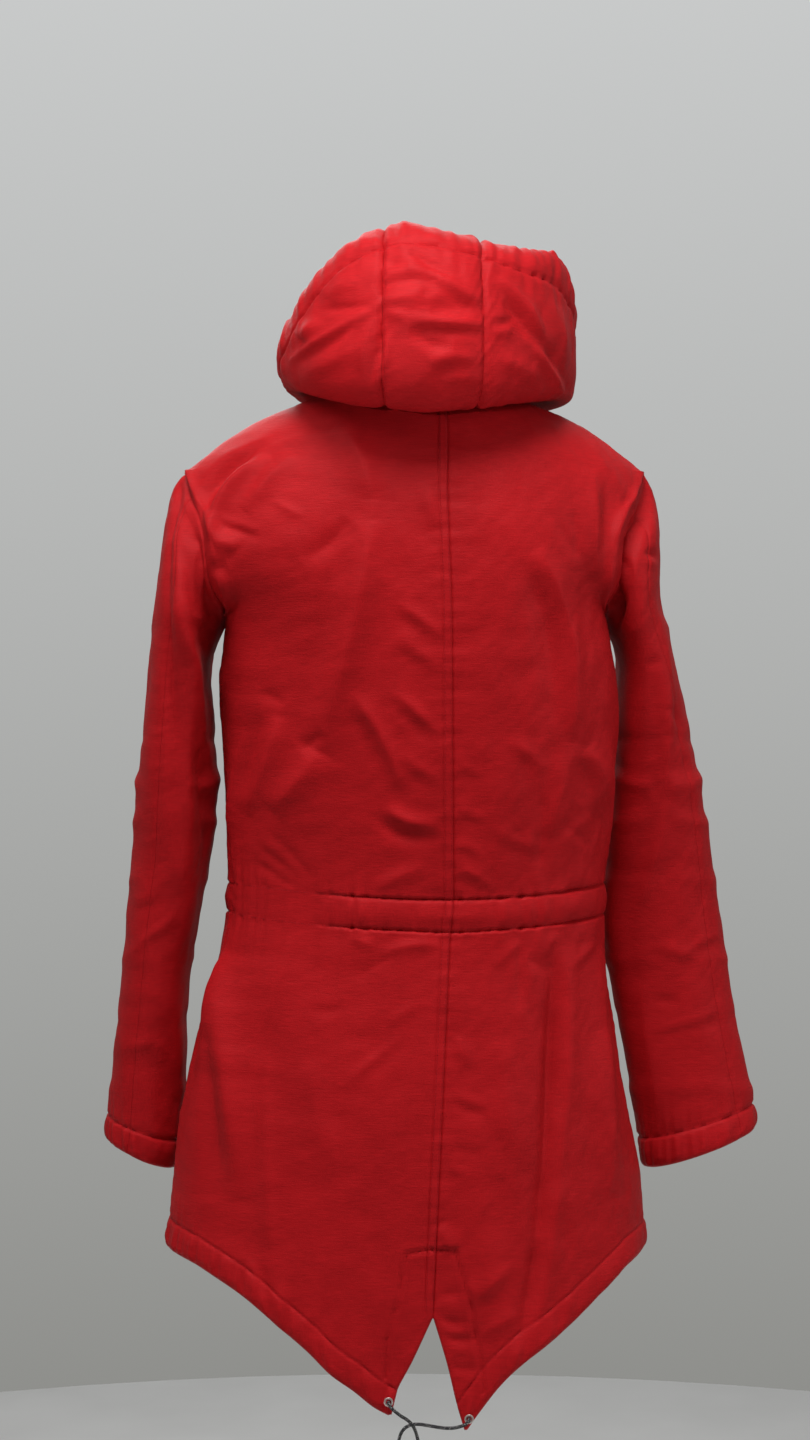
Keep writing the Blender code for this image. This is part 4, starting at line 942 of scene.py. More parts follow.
SLEEVE_FRONT_CREASES = table("""
  x0   z0   x1   z1   x2   z2   up wide lean
 199 -170  192 -230  180 -290    3    9  0.4
 250 -300  222 -312  192 -300  1.8    5  0.4
 255 -360  225 -352  190 -362  2.4    6  0.5
 252 -385  225 -392  190 -380 -1.8    5  0.3
 260 -450  235 -462  205 -450  1.8    5  0.4
 262 -540  240 -530  214 -542  1.6    5  0.3
 268 -620  245 -612  216 -622  1.4    5  0.3
 240 -400  238 -480  240 -560  1.2   10    0
-200 -165 -196 -235 -186 -300    3    9  0.4
-250 -320 -225 -330 -192 -322  1.8    5  0.4
-262 -372 -230 -364 -188 -376  2.6    6  0.5
-268 -430 -235 -440 -195 -432 -1.8    5  0.3
-282 -500 -250 -492 -205 -506  1.8    5  0.4
-290 -570 -260 -580 -212 -572  1.6    5  0.3
-300 -630 -265 -622 -222 -634  1.4    5  0.3
""")

BODY_SIDE_CREASES = table("""
  x0   z0   x1   z1   x2   z2   up wide lean
  60 -300   30 -360   20 -425    2    8  0.4
 -50 -320  -30 -370  -20 -425   -2    6  0.3
  30 -490   50 -580   70 -700    3   12  0.4
 -50 -490  -60 -580  -70 -700   -3    9  0.4
 -10 -480  -10 -530    0 -600  1.8    8  0.3
  75 -520   90 -600   95 -700   -2    8  0.3
""")

SLEEVE_SIDE_CREASES = table("""
  x0   z0   x1   z1   x2   z2   up wide lean
 -60 -200  -10 -215   40 -200    2    7  0.4
 -65 -300  -10 -318   45 -300   -2    6  0.3
 -62 -350  -10 -335   44 -355    3    7  0.5
 -65 -375  -12 -392   40 -372  2.4    6  0.5
 -66 -430  -20 -440   30 -428  1.6    6  0.3
 -70 -500  -25 -512   20 -498  1.8    6  0.4
 -72 -560  -30 -552   14 -566 -1.6    5  0.3
 -74 -620  -32 -630   10 -618  1.8    6  0.4
 -20 -100  -22 -160  -20 -220  1.6   12    0
""")

# %% The shape of one crease, and soft bumps
CREASE_TRIES = 24        # places tried along a crease before its nearest one is refined
CREASE_REACH = 3.2       # how far a crease is felt, in its own half widths
FACING_START, FACING_SPAN = 0.10, 0.3     # how squarely cloth must face a side to show its creases
BELL_POWER, RISE_POWER = 1.6, 0.8         # a rounder bell across, a fuller arch along
TROUGH_SHARE, TROUGH_PLACE = 0.75, 1.7    # of the lean, and in half widths from the crest
END_SLACK = 1.2          # beyond a crease's end, the distance to the end counts instead
CREASE_SPREAD = 1.15     # all creases but the hood's are this much wider than their tables say
LATTICE = 128            # soft bumps repeat after this many cells
SMALL_CREASE, LARGE_CREASE = 0.65, 2.1    # factors for creases 3 mm and 9 mm wide
VIEWS = {"back": (0, (0, 1, 0)), "front": (0, (0, -1, 0)),
         "left": (1, (1, 0, 0)), "right": (1, (-1, 0, 0))}


def bezier(ends, t):
    """A quadratic Bezier curve's point and its first and second slopes."""
    first, middle, last = (np.array(ends[i:i + 2])[:, None] for i in (0, 2, 4))
    point = (1 - t) ** 2 * first + 2 * t * (1 - t) * middle + t ** 2 * last
    slope = 2 * (1 - t) * (middle - first) + 2 * t * (last - middle)
    return point, slope, 2 * (first - 2 * middle + last)


def crease_profile(ends, height, width, lean, place):
    """A bell across the crease, less a smaller bell on the lean's side, times a sine along it."""
    tries = np.linspace(0, 1, CREASE_TRIES)
    line_points = bezier(ends, tries)[0]
    away = (place[0][:, None] - line_points[0]) ** 2 + (place[1][:, None] - line_points[1]) ** 2
    t = tries[away.argmin(axis=1)]
    for _ in range(2):
        point, slope, bend = bezier(ends, t)
        gap = point - place
        change = (slope ** 2).sum(axis=0) + (gap * bend).sum(axis=0)
        t = np.clip(t - (gap * slope).sum(axis=0) / np.where(np.abs(change) > 1e-9, change, 1.0), 0, 1)
    point, slope, _ = bezier(ends, t)
    gap = place - point
    aside = (slope[0] * gap[1] - slope[1] * gap[0]) / np.linalg.norm(slope, axis=0)
    beyond = np.linalg.norm(gap, axis=0)
    s = np.where(beyond > END_SLACK * np.abs(aside), beyond, aside) / width
    bell = np.exp(-np.abs(s) ** BELL_POWER)
    trough = TROUGH_SHARE * abs(lean) * np.exp(-(s - TROUGH_PLACE * np.sign(lean)) ** 2)
    return height * (bell - trough) * np.sin(np.pi * t) ** RISE_POWER


def crease_lift(points, ways, creases, view, spread=CREASE_SPREAD):
    """The sum of all the creases seen from one side, faded where the cloth turns from it."""
    axis, towards = VIEWS[view]
    facing = ease(((ways * towards).sum(axis=-1) - FACING_START) / FACING_SPAN)
    lift = np.zeros(points.shape[:2])
    flat_x, flat_z = points[..., axis], points[..., 2]
    for row in zip(*creases.values()):
        ends, (height, width, lean) = row[:6], row[6:]
        height = height * mix(SMALL_CREASE, LARGE_CREASE, ease((width - 0.003) / 0.006))
        width = spread * width
        room = CREASE_REACH * width
        near = ((flat_x > min(ends[0::2]) - room) & (flat_x < max(ends[0::2]) + room)
                & (flat_z > min(ends[1::2]) - room) & (flat_z < max(ends[1::2]) + room) & (facing > 0))
        if near.any():
            place = np.stack([flat_x[near], flat_z[near]])
            lift[near] += crease_profile(ends, height, width, lean, place)
    return lift * facing


def soft_bumps(a, b, cell, seed):
    """Random heights on a square lattice, joined by the S-curve of ease: from -1 to 1."""
    heights = np.random.default_rng(seed).uniform(-1, 1, (LATTICE, LATTICE))
    column, row = np.floor(a / cell).astype(int), np.floor(b / cell).astype(int)
    s, t = ease(a / cell - column), ease(b / cell - row)
    corner = [[heights[(column + i) % LATTICE, (row + j) % LATTICE] for j in (0, 1)] for i in (0, 1)]
    return mix(mix(corner[0][0], corner[1][0], s), mix(corner[0][1], corner[1][1], s), t)


# Soft bumps: their height and size, and how far they slant along and up.
RUMPLES = ((0.00080, 0.046, 0.3, -0.2), (0.00066, 0.021, -0.4, 0.5), (0.00028, 0.0095, 0.6, 0.0))


def rumple(points):
    """Three sizes of soft bumps, from a hand's width to a finger's, slanted to the run of the cloth."""
    run, rise = points[..., 0] + 1.3 * points[..., 1], points[..., 2]
    return sum(height * soft_bumps(run + lean * rise, rise + tilt * run, cell, seed)
               for seed, (height, cell, lean, tilt) in enumerate(RUMPLES, 1))

# %% [markdown]
# ## Casings, gathers and seams
# A drawn casing is a flat tube sewn between two rows of stitches. The elastic or cord in it is
# shorter than the cloth, so it puffs out between its rows and gathers into small uneven folds that
# die away above and below. Gathers are sums of sines with lengths that never fit together, stronger
# in some places. Every sewn edge turns under, so a seam is a narrow groove that puckers a little.

# %% How gathers, casings and grooves stand out
WAIST_PUFF, HEM_PUFF, CUFF_PUFF, RIM_PUFF = 0.0030, 0.0024, 0.0024, 0.0036
HEM_DEPTH, CUFF_DEPTH, RIM_DEPTH = 0.00077, 0.0013, 0.0022    # how deep a row of stitches draws in
# The lengths of the gathers in each casing, which never fit together.
WAIST_PITCHES, WAIST_PINCHES = (0.009, 0.013, 0.0195, 0.031), (0.0078, 0.0113, 0.0171)
HEM_PITCHES, CUFF_PITCHES = (0.011, 0.017, 0.029), (0.0095, 0.014, 0.023)
RIM_PITCHES = (0.0128, 0.0193, 0.031, 0.057)
ABOVE_REACH, BELOW_REACH, HEM_REACH = 0.016, 0.018, 0.014    # how far gathers die away from a casing
CASING_DIP, HEM_DIP, CUFF_DIP, RIM_DIP = 0.0015, 0.0014, 0.0016, 0.0020   # half widths of a stitched row
DRAWN_END, DRAWN_FADE = 0.040, 0.060    # the back's drawn casing ends here, left of the centre
FELL_RISE = 0.0011
GROOVE_DEPTH, GROOVE_WIDTH, GROOVE_PITCHES = 0.0012, 0.0026, (0.011, 0.0173)
SINK_DEPTH, SINK_WIDTH = 0.0007, 0.009          # the broader hollow on both sides of a groove
STRONG_GATHERS = ((0.140, 0.016), (-0.132, 0.014), (-0.105, 0.016), (-0.082, 0.010), (0.060, 0.020))


def row_at(number):
    """The grid's own row at a numbered place down the body."""
    return int(np.searchsorted(body_rows, number))


def gathers(points, pitches, seed):
    """A sum of sines of the way round, one for each pitch, from about -1 to 1."""
    wander = 0.006 * soft_bumps(points[..., 0], points[..., 2], 0.09, seed)
    run = points[..., 0] - 0.8 * points[..., 1] + wander
    waves = [np.sin(2 * np.pi * run / pitch + 1.7 * number + seed) for number, pitch in enumerate(pitches)]
    return sum(waves) / len(waves)


def channel(place, start, end, puff):
    """A half sine between two stitch rows, made a little fuller by a power below one."""
    t = (place - start) / (end - start)
    return puff * np.where((t > 0) & (t < 1), np.sin(np.pi * np.clip(t, 0, 1)) ** 0.8, 0.0)


def dip(away, width):
    """A narrow bell: 1 on a stitch line or a seam, gone three widths from it."""
    return np.exp(-(away / width) ** 2)


def dying(away, reach):
    """Before a row, where away is below zero: e to the power of away / reach. Nothing after it."""
    return np.exp(np.minimum(away, 0) / reach) * (away < 0)


def groove(points, away, seed):
    """A sewn edge: a narrow groove in a broader sink, both with a small pucker along it."""
    along = points[..., 0] + points[..., 1] + points[..., 2]
    short, long = (2 * np.pi * along / pitch for pitch in GROOVE_PITCHES)
    pucker = 1 + 0.35 * np.sin(short + seed) + 0.25 * np.sin(long)
    return -GROOVE_DEPTH * dip(away, GROOVE_WIDTH) - SINK_DEPTH * pucker * np.exp(-away / SINK_WIDTH)


def body_relief(name, points, far):
    """Every sewn detail of a body panel, as one height for each point."""
    row_of = np.broadcast_to(body_rows[:, None], points.shape[:2])
    down, x = far["top"], points[..., 0]
    from_top, from_low, from_hem = (down - down[row_at(number)] for number in (3.0, 4.0, 6.0))
    strong = 1 + sum(1.6 * dip(x - middle, width) for middle, width in STRONG_GATHERS)
    if "front" in name:
        strong = strong + 0.8
    # The back's drawn casing ends before the left side seam, beyond which the cloth is plain.
    drawn = 1 - ease((x - DRAWN_END) / DRAWN_FADE) * (name == "back_left")
    wave = gathers(points, WAIST_PITCHES, 2)
    lift = channel(row_of, 3, 4, WAIST_PUFF) * (0.80 + 0.25 * strong * wave) * mix(0.10, 1, drawn)
    beside = dying(from_top, ABOVE_REACH) + dying(-from_low, BELOW_REACH)
    inside = (from_top >= 0) & (from_low <= 0)
    lift += 0.00060 * strong * gathers(points, WAIST_PITCHES[1:], 2) * (beside + 0.5 * inside)
    lift += 0.0010 * drawn * beside
    to_side = ease(far["first" if name in ("back_right", "front_left") else "last"] / 0.03)
    pinch = gathers(points, WAIST_PINCHES, 4)
    depth = 0.0017 + 0.0010 * strong * np.maximum(pinch, -0.6)
    lift -= drawn * mix(0.3, 1, to_side) * depth * (dip(from_top, CASING_DIP) + dip(from_low, CASING_DIP))
    lift -= 0.00055 * drawn * strong * np.maximum(pinch, 0) * (dip(from_top, 0.006) + dip(from_low, 0.006))
    hem_wave = gathers(points, HEM_PITCHES, 5)
    lift += channel(row_of, 6, 7, HEM_PUFF) * (0.75 + 0.6 * hem_wave)
    lift += 0.0005 * hem_wave * dying(from_hem, HEM_REACH)
    return lift - HEM_DEPTH * dip(from_hem, HEM_DIP)


def polyline_away(x, z, corners):
    """The distance in the picture's plane to the nearest of a few straight stretches."""
    away = np.full(x.shape, np.inf)
    for (ax, az), (bx, bz) in zip(corners[:-1], corners[1:]):
        length = (bx - ax) ** 2 + (bz - az) ** 2
        t = np.clip(((x - ax) * (bx - ax) + (z - az) * (bz - az)) / length, 0, 1)
        away = np.minimum(away, np.hypot(x - ax - t * (bx - ax), z - az - t * (bz - az)))
    return away

# %% The centre-back seam and the facing of the vent
FACING_LINES = {
    "back_left": ((-0.0140, -0.7372), (0.0072, -0.7397), (0.0123, -0.7649), (0.0182, -0.7935),
                  (0.0241, -0.8129), (0.0257, -0.8440)),
    "back_right": ((-0.0152, -0.7372), (-0.0332, -0.7372), (-0.0383, -0.7565), (-0.0467, -0.7843),
                   (-0.0509, -0.8129), (-0.0568, -0.8381), (-0.0570, -0.8560))}
FELL_PITCHES = (0.0125, 0.0197)   # puckers along the seam
FELL_ROWS = (0.0015, 0.0064)      # the fell's two stitch rows, from the seam's ditch
SEAM_STOPS = 4.95                 # the row where the centre-back seam ends, just above the vent


def back_relief(name, points, far):
    """The felled strip, its two stitch rows, and the stitched lines of the vent's facing."""
    sewn = 1 - ease((body_rows[:, None] - SEAM_STOPS) / 0.1)
    from_centre = far["first"] if name == "back_left" else far["last"]
    along = points[..., 2]
    short, long = (2 * np.pi * along / pitch for pitch in FELL_PITCHES)
    pucker = np.sin(short) + 0.7 * np.sin(long + 1.0)
    lift = 0.00022 * pucker * np.exp(-from_centre / 0.012)
    if name == "back_left":
        beyond = from_centre - FELL_ROWS[1]
        lift += FELL_RISE * ease(from_centre / 0.0007) * (1 - ease((beyond - 0.0002) / 0.0009))
        lift -= 0.0006 * dip(beyond - 0.0009, 0.0009) + 0.0010 * dip(from_centre, 0.0007)
    else:
        lift -= 0.0011 * dip(from_centre, 0.0013)
    away = polyline_away(points[..., 0], points[..., 2], FACING_LINES[name])
    return sewn * lift - 0.0015 * dip(away, 0.0014) + 0.0005 * dip(away - 0.004, 0.003)

# %% All the heights, panel by panel
BODY_CREASES = (("back", BACK_CREASES), ("back", SKIRT_CREASES), ("front", FRONT_CREASES),
                ("left", BODY_SIDE_CREASES), ("right", BODY_SIDE_CREASES))
SLEEVE_VIEWS = (("back", SLEEVE_CREASES, 1.0), ("front", SLEEVE_FRONT_CREASES, 1.0),
                ("left", SLEEVE_SIDE_CREASES, 0.45), ("right", SLEEVE_SIDE_CREASES, 0.45))
SLEEVE_SEAM_SHARE = 0.5
# Where a sleeve is tucked in behind the back panel: how deep, and its middle height and reach.
SLEEVE_TUCKS = {"sleeve_left": (0.005, -0.150, 0.060), "sleeve_right": (0.019, -0.165, 0.085)}
INNER_SWELL, SWELL_HEIGHT, SWELL_REACH = 0.0045, -0.480, 0.050    # inside the right forearm
CREASE_FADE = 0.010      # creases die within a finger's width of a seam that turns the cloth
RIM_CASING = 0.043       # the rim casing's width


def seam_grooves(name, columns, share):
    """A groove beside each numbered column of a grid, and how far its points lie from the column."""
    along = distance[name]["first"]
    for column in columns:
        away = np.abs(along - along[:, column:column + 1])
        yield share * groove(base[name], away, float(column)), away


def body_heights(name):
    """Creases, bumps, casings and seams of one quarter of the body."""
    points, far, ways = base[name], distance[name], outward[name]
    rows = body_rows[:, None]
    fold = sum(crease_lift(points, ways, creases, view) for view, creases in BODY_CREASES)
    side = "last" if name in ("back_left", "front_right") else "first"
    from_armhole = np.where((rows > 1) & (rows < 2), far[side], np.inf)
    casing = ease((rows - 2.97) / 0.03) * (1 - ease((rows - 4.0) / 0.03))
    if "back" in name:      # the back puffs a little beside its armhole
        fold = fold + 0.0032 * dip(from_armhole - 0.010, 0.008) * ease(far["top"] / 0.05)
    fold = fold * ease(far["top"] / CREASE_FADE) * ease(from_armhole / CREASE_FADE) * (1 - 0.75 * casing)
    lift = fold + rumple(points) * (1 - 0.5 * casing) + body_relief(name, points, far)
    lift += groove(points, far["top"], 1.0) + groove(points, far[side], 2.0)
    return lift + back_relief(name, points, far) if "back" in name else lift


def sleeve_heights(name):
    """The same for a sleeve, with its two long seams and its cuff casing."""
    points, far, ways = base[name], distance[name], outward[name]
    fold = sum(share * crease_lift(points, ways, creases, view) for view, creases, share in SLEEVE_VIEWS)
    from_cuff = far["top"] - far["top"][SLEEVE_STEPS]
    wave = gathers(points, CUFF_PITCHES, 7)
    cuff = channel(sleeve_stations[:, None], CUFF_START, 1.0, CUFF_PUFF) * (0.80 + 0.7 * wave)
    lift = fold * ease(far["top"] / CREASE_FADE) * (1 - ease(from_cuff / 0.004)) + rumple(points) + cuff
    lift += 0.0011 * wave * dying(from_cuff, ABOVE_REACH) - CUFF_DEPTH * dip(from_cuff, CUFF_DIP)
    lift += groove(points, far["top"], 3.0)
    lift += sum(seam for seam, _ in seam_grooves(name, SEAM_COLUMNS, SLEEVE_SEAM_SHARE))
    behind = ease((ways[..., 1] - 0.15) / 0.4)
    depth, middle, reach = SLEEVE_TUCKS[name]
    lift -= depth * dip(far["top"] - 0.013, 0.012) * behind * dip(points[..., 2] - middle, reach)
    if name == "sleeve_right":
        inward = ease((ways[..., 0] - 0.5) / 0.4)
        lift += INNER_SWELL * inward * dip(points[..., 2] - SWELL_HEIGHT, SWELL_REACH)
    return lift


def hood_heights(name="hood"):
    """The hood's creases, its two seams and its puckered rim casing."""
    points, far, ways = base[name], distance[name], outward[name]
    fold = 0.95 * crease_lift(points, ways, HOOD_CREASES, "back", 0.85)
    from_rim = RIM_CASING - far["top"]
    rim_length = reach_along(points[RIM_STEPS])[None, :]
    run = rim_length + 0.004 * soft_bumps(rim_length, far["top"], 0.03, 11)
    wave = sum(np.sin(2 * np.pi * run / pitch + 1.9 * i) for i, pitch in enumerate(RIM_PITCHES)) / 3
    casing = channel(far["top"], 0, RIM_CASING, RIM_PUFF) * (0.85 + 0.35 * wave)
    casing += 0.0007 * wave * dip(far["top"], 0.010)
    lift = fold * ease(far["bottom"] / CREASE_FADE) * (1 - 0.6 * ease(from_rim / 0.006))
    lift += 1.3 * rumple(points) + casing
    lift += (0.0010 + 0.0010 * wave) * dying(from_rim, HEM_REACH)
    lift -= (RIM_DEPTH + 0.0008 * wave) * dip(from_rim, RIM_DIP)
    lift += groove(points, far["bottom"], 4.0)
    seams = seam_grooves(name, HOOD_SEAMS, 1.6)
    return lift + sum(seam - 0.0016 * np.exp(-away / 0.012) for seam, away in seams)


middle_column = FRONT_COLUMNS + FELL_COLUMNS + BACK_COLUMNS
from_middle = np.where(neck_line[:, 1] > 0, neck_line[:, 0] - neck_line[middle_column, 0], np.inf)
HOOD_SEAMS = [3 * int(round(np.abs(from_middle - reach).argmin() / 3))
              for reach in (-HOOD_HALF_PANEL, HOOD_HALF_PANEL)]
relief_of = {"hood": hood_heights, "sleeve": sleeve_heights, "back": body_heights, "front": body_heights}
heights = sewn_together({name: relief_of[name.split("_")[0]](name)[..., None] for name in base})
surface = {name: base[name] + heights[name] * outward[name] for name in base}
for name, height in heights.items():
    print(f"{name}: relief from {height.min() * 1000:.1f} to {height.max() * 1000:.1f} mm")

# %% [markdown]
# ## From a surface to padded cloth
# Each panel is a wall: its outer surface in full detail, a plain inner one with a third of the
# points, and rims that join them. A rim at a seam is straight, because the neighbour hides it. A
# free edge, such as the hem, rolls over in a half circle, as cloth turned round its padding does.
# Solidify could thicken an open sheet, but it would spend as many faces on the side nobody sees.

# %% Walls with straight and rolled rims
WALL = 0.0050
SEAM_HALF_GAP = 0.00012
ROLL_STEPS = 5
ROLL_BLEND = 0.012
INNER_EVERY = 3          # the inner surface has every third point of the outer one
NEXT_IN = {"top": np.s_[1:2, :], "bottom": np.s_[-2:-1, :], "first": np.s_[:, 1:2], "last": np.s_[:, -2:-1]}
ROUND_TRIP = {"bottom": np.s_[-1, :], "last": np.s_[::-1, -1], "top": np.s_[0, ::-1], "first": np.s_[:, 0]}


def cloth_wall(name, outer, ways, free):
    """A closed wall. free gives, for each rolled edge, how far it is rolled at each of its points.

    The edge is first drawn in by half a wall, so that its half circle ends where the edge was.
    """
    outer = outer.copy()
    far = edge_distances(outer)
    leaving = {edge: unit(outer[EDGES[edge]] - outer[NEXT_IN[edge]]) for edge in EDGES}
    for edge, share in free.items():
        share = share[None, :] if edge in ("top", "bottom") else share[:, None]
        fade = 1 - ease(far[edge] / ROLL_BLEND)
        outer -= WALL / 2 * (share * fade)[..., None] * leaving[edge]
    for edge in EDGES:
        if edge not in free:
            outer[EDGES[edge]] -= SEAM_HALF_GAP * leaving[edge]
    inner = (outer - WALL * ways)[::INNER_EVERY, ::INNER_EVERY]
    count = outer.shape[0] * outer.shape[1]
    out_index = np.arange(count).reshape(outer.shape[:2])
    in_index = count + np.arange(inner.shape[0] * inner.shape[1]).reshape(inner.shape[:2])
    points = [outer.reshape(-1, 3), inner.reshape(-1, 3)]
    count += in_index.size
    shell_faces, lining_faces = grid_quads(out_index), grid_quads(in_index)[:, ::-1]
    faces = shell_faces.tolist() + lining_faces.tolist()
    ends = []
    for edge, where in ROUND_TRIP.items():
        levels = [out_index[where]]
        if edge in free:
            turn = np.s_[::-1] if edge in ("last", "top") else np.s_[:]
            away = free[edge][turn, None] * leaving[edge].reshape(-1, 3)[turn]
            for angle in np.pi * np.arange(1, ROLL_STEPS) / ROLL_STEPS:
                bend = (np.cos(angle) - 1) * ways[where] + np.sin(angle) * away
                points.append(outer[where] + WALL / 2 * bend)
                levels.append(count + np.arange(len(away)))
                count += len(away)
        for near, next_row in zip(levels[:-1], levels[1:]):
            faces += np.stack([near[:-1], near[1:], next_row[1:], next_row[:-1]], axis=-1).tolist()
        last, inside = levels[-1], in_index[where]
        faces += np.stack([last[0:-1:3], last[1::3], last[2::3], last[3::3], inside[1:], inside[:-1]],
                          axis=-1).tolist()
        ends.append([[level[0] for level in levels], [level[-1] for level in levels], inside])
    for before, after in zip(ends, ends[1:] + ends[:1]):
        corner = after[0] + [before[2][-1]] + before[1][:0:-1]
        if len(corner) > 2:      # two straight rims meet in a line, which needs no face
            faces.append([int(number) for number in corner])
    made = mesh_piece(name, np.concatenate(points), faces, shell_look)
    made.data.set_sharp_from_angle(angle=1.0)
    made.data.materials.append(lining_look)
    slots = np.zeros(len(made.data.polygons), dtype=np.int32)
    slots[len(shell_faces):len(shell_faces) + len(lining_faces)] = 1
    made.data.polygons.foreach_set("material_index", slots)
    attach(made, "jacket")
    return made


# %% [markdown]
# ## The cut
# Before it was sewn each panel lay flat. Below, each panel is cut from its grid as a span of columns,
# with its free edges, and made into a wall of its own.

# %% Panels, cut and sewn
below_vent = ease((body_rows - 5.0) / 0.04)
front_edge, hood_edge = np.ones(len(body_rows)), np.ones(len(hood_rings))
low_seam, high_seam = SEAM_COLUMNS
right_seam, left_seam = HOOD_SEAMS
over_columns = np.r_[high_seam:base["sleeve_left"].shape[1] - 1, 0:low_seam + 1]
under_columns = np.s_[low_seam:high_seam + 1]
# For each panel: its grid and columns, its free side edges, and what it lies on. The lower edge of
# the body and sleeves is free, and so is the hood's rim, which is its top.
PANELS = {
    "back_left": ("back_left", np.s_[:], {"first": below_vent}, ["back_right", "front_left"]),
    "back_right": ("back_right", np.s_[:], {"last": below_vent}, ["back_left", "front_right"]),
    "front_left": ("front_left", np.s_[:], {"last": front_edge}, ["back_left"]),
    "front_right": ("front_right", np.s_[:], {"first": front_edge}, ["back_right"]),
    "sleeve_left_top": ("sleeve_left", over_columns, {}, ["back_left"]),
    "sleeve_left_under": ("sleeve_left", under_columns, {}, ["sleeve_left_top"]),
    "sleeve_right_top": ("sleeve_right", over_columns, {}, ["back_right"]),
    "sleeve_right_under": ("sleeve_right", under_columns, {}, ["sleeve_right_top"]),
    "hood_right": ("hood", np.s_[:right_seam + 1], {"first": hood_edge}, ["back_right"]),
    "hood_centre": ("hood", np.s_[right_seam:left_seam + 1], {}, ["back_left", "back_right"]),
    "hood_left": ("hood", np.s_[left_seam:], {"last": hood_edge}, ["back_left"])}
for name, (source, columns, sides, below) in PANELS.items():
    outer = surface[source][:, columns]
    free = {"top" if source == "hood" else "bottom": np.ones(outer.shape[1]), **sides}
    cloth_wall(name + "_cloth", outer, outward[source][:, columns], free)
    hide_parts(name)

# %% [markdown]
# ## Stitches
# A lockstitch shows as short thread ends that dive into the cloth. Each one is a small six-sided
# capsule, and thousands of them are one mesh: one template, moved, turned and repeated as arrays. A
# stitch row is first found as a line on the finished surface, at a set distance from an edge or
# along a numbered row, and the stitches are then laid along it at even lengths.

# %% Lines on the finished surface
STITCH_PITCH, STITCH_LENGTH, THREAD_RADIUS, THREAD_SUNK = 0.0032, 0.0024, 0.00026, 0.00006
LINE_STEP = 0.002        # between the points of a line over the picture's plane
CAPSULE_SHOULDER = 0.36  # where a stitch's round end begins, from its middle
LOOK_AHEAD = 0.0005      # how far along the line a stitch finds its direction
finished = {name: grid_normals(grid) for name, grid in surface.items()}


def row_line(name, row):
    """A whole row of a grid with its outward directions."""
    return surface[name][row], finished[name][row]


def passing(far, away, points, ways):
    """In each row, the place where its reach passes a distance: a mix of the two points beside it."""
    away = np.broadcast_to(away, len(far))
    column = np.clip((far >= away[:, None]).argmax(axis=1), 1, far.shape[1] - 1)
    row = np.arange(len(far))
    low, high = far[row, column - 1], far[row, column]
    share = ((away - low) / (high - low))[:, None]
    return mix(points[row, column - 1], points[row, column], share), ways[row, column]


def line_beside(name, edge, away, rows):
    """The line at a set distance from a first or last edge, over some rows."""
    turn = np.s_[:] if edge == "first" else np.s_[::-1]
    grids = (distance[name][edge], surface[name], finished[name])
    far, points, ways = (grid[rows][:, turn] for grid in grids)
    return passing(far, away, points, ways)


def line_below_rim(away):
    """The line at a set distance from the hood's rim."""
    points, ways = surface["hood"].swapaxes(0, 1), finished["hood"].swapaxes(0, 1)
    return passing(distance["hood"]["top"].T, away, points, ways)


def hood_seam_line(column, away):
    """A column of the hood's surface, moved sideways along it by a set distance."""
    rows = np.arange(RIM_STEPS, len(hood_rings) - 6)
    far = distance["hood"]["first"][rows]
    return passing(far, far[:, column] + away, surface["hood"][rows], finished["hood"][rows])


def line_over(name, corners, first=0):
    """The line above corners given in the picture's plane: nearest points of the back's surface."""
    flat = np.array([(x, 0, z) for x, z in corners])
    even = even_points(flat, int(reach_along(flat)[-1] / LINE_STEP))
    grid, ways = surface[name][first:].reshape(-1, 3), finished[name][first:].reshape(-1, 3)
    near = np.array([((grid[:, 0] - x) ** 2 + (grid[:, 2] - z) ** 2).argmin() for x, _, z in even])
    point, way = grid[near], ways[near]
    aside = even - point
    y = point[:, 1] - (way[:, 0] * aside[:, 0] + way[:, 2] * aside[:, 2]) / way[:, 1]
    return np.stack([even[:, 0], y, even[:, 2]], axis=-1), way


def capsule():
    """Two rings of six points and two end points: along, across and up, for a length of one."""
    angle = np.arange(6) * np.pi / 3
    ring = np.stack([0 * angle, np.cos(angle), np.sin(angle)], axis=-1)
    shoulder = (CAPSULE_SHOULDER, 0, 0)
    points = np.concatenate([[(-0.5, 0, 0)], ring - shoulder, ring + shoulder, [(0.5, 0, 0)]])
    turn = np.roll(np.arange(6), -1)
    start = [(0, 1 + b, 1 + a) for a, b in enumerate(turn)]
    sides = [(1 + a, 1 + b, 7 + b, 7 + a) for a, b in enumerate(turn)]
    end = [(13, 7 + a, 7 + b) for a, b in enumerate(turn)]
    return points, start + sides + end


def stitch_piece(name, lines):
    """One mesh for all the stitches of a group of seams.

    Each is the template times the stitch's own along, across and up directions, plus its place.
    """
    template, template_faces = capsule()
    points, faces, count = [], [], 0
    for path, ways in lines:
        reach = reach_along(path)
        places = np.arange(STITCH_PITCH, reach[-1] - STITCH_PITCH / 2, STITCH_PITCH)
        centre, ahead = at_reach(places, reach, path), at_reach(places + LOOK_AHEAD, reach, path)
        up = unit(at_reach(places, reach, ways))
        along = unit(ahead - centre)
        frame_of_stitch = np.stack([STITCH_LENGTH * along, THREAD_RADIUS * np.cross(up, along),
                                    THREAD_RADIUS * up], axis=1)
        points.append((template @ frame_of_stitch + (centre - THREAD_SUNK * up)[:, None]).reshape(-1, 3))
        shift = count + len(template) * np.arange(len(centre))
        for face in template_faces:
            faces += (np.array(face)[None, :] + shift[:, None]).tolist()
        count += len(template) * len(centre)
    piece = mesh_piece(name, np.concatenate(points), faces, thread_look)
    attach(piece, "jacket")
    print(f"{name}: {count // len(template)} stitches")

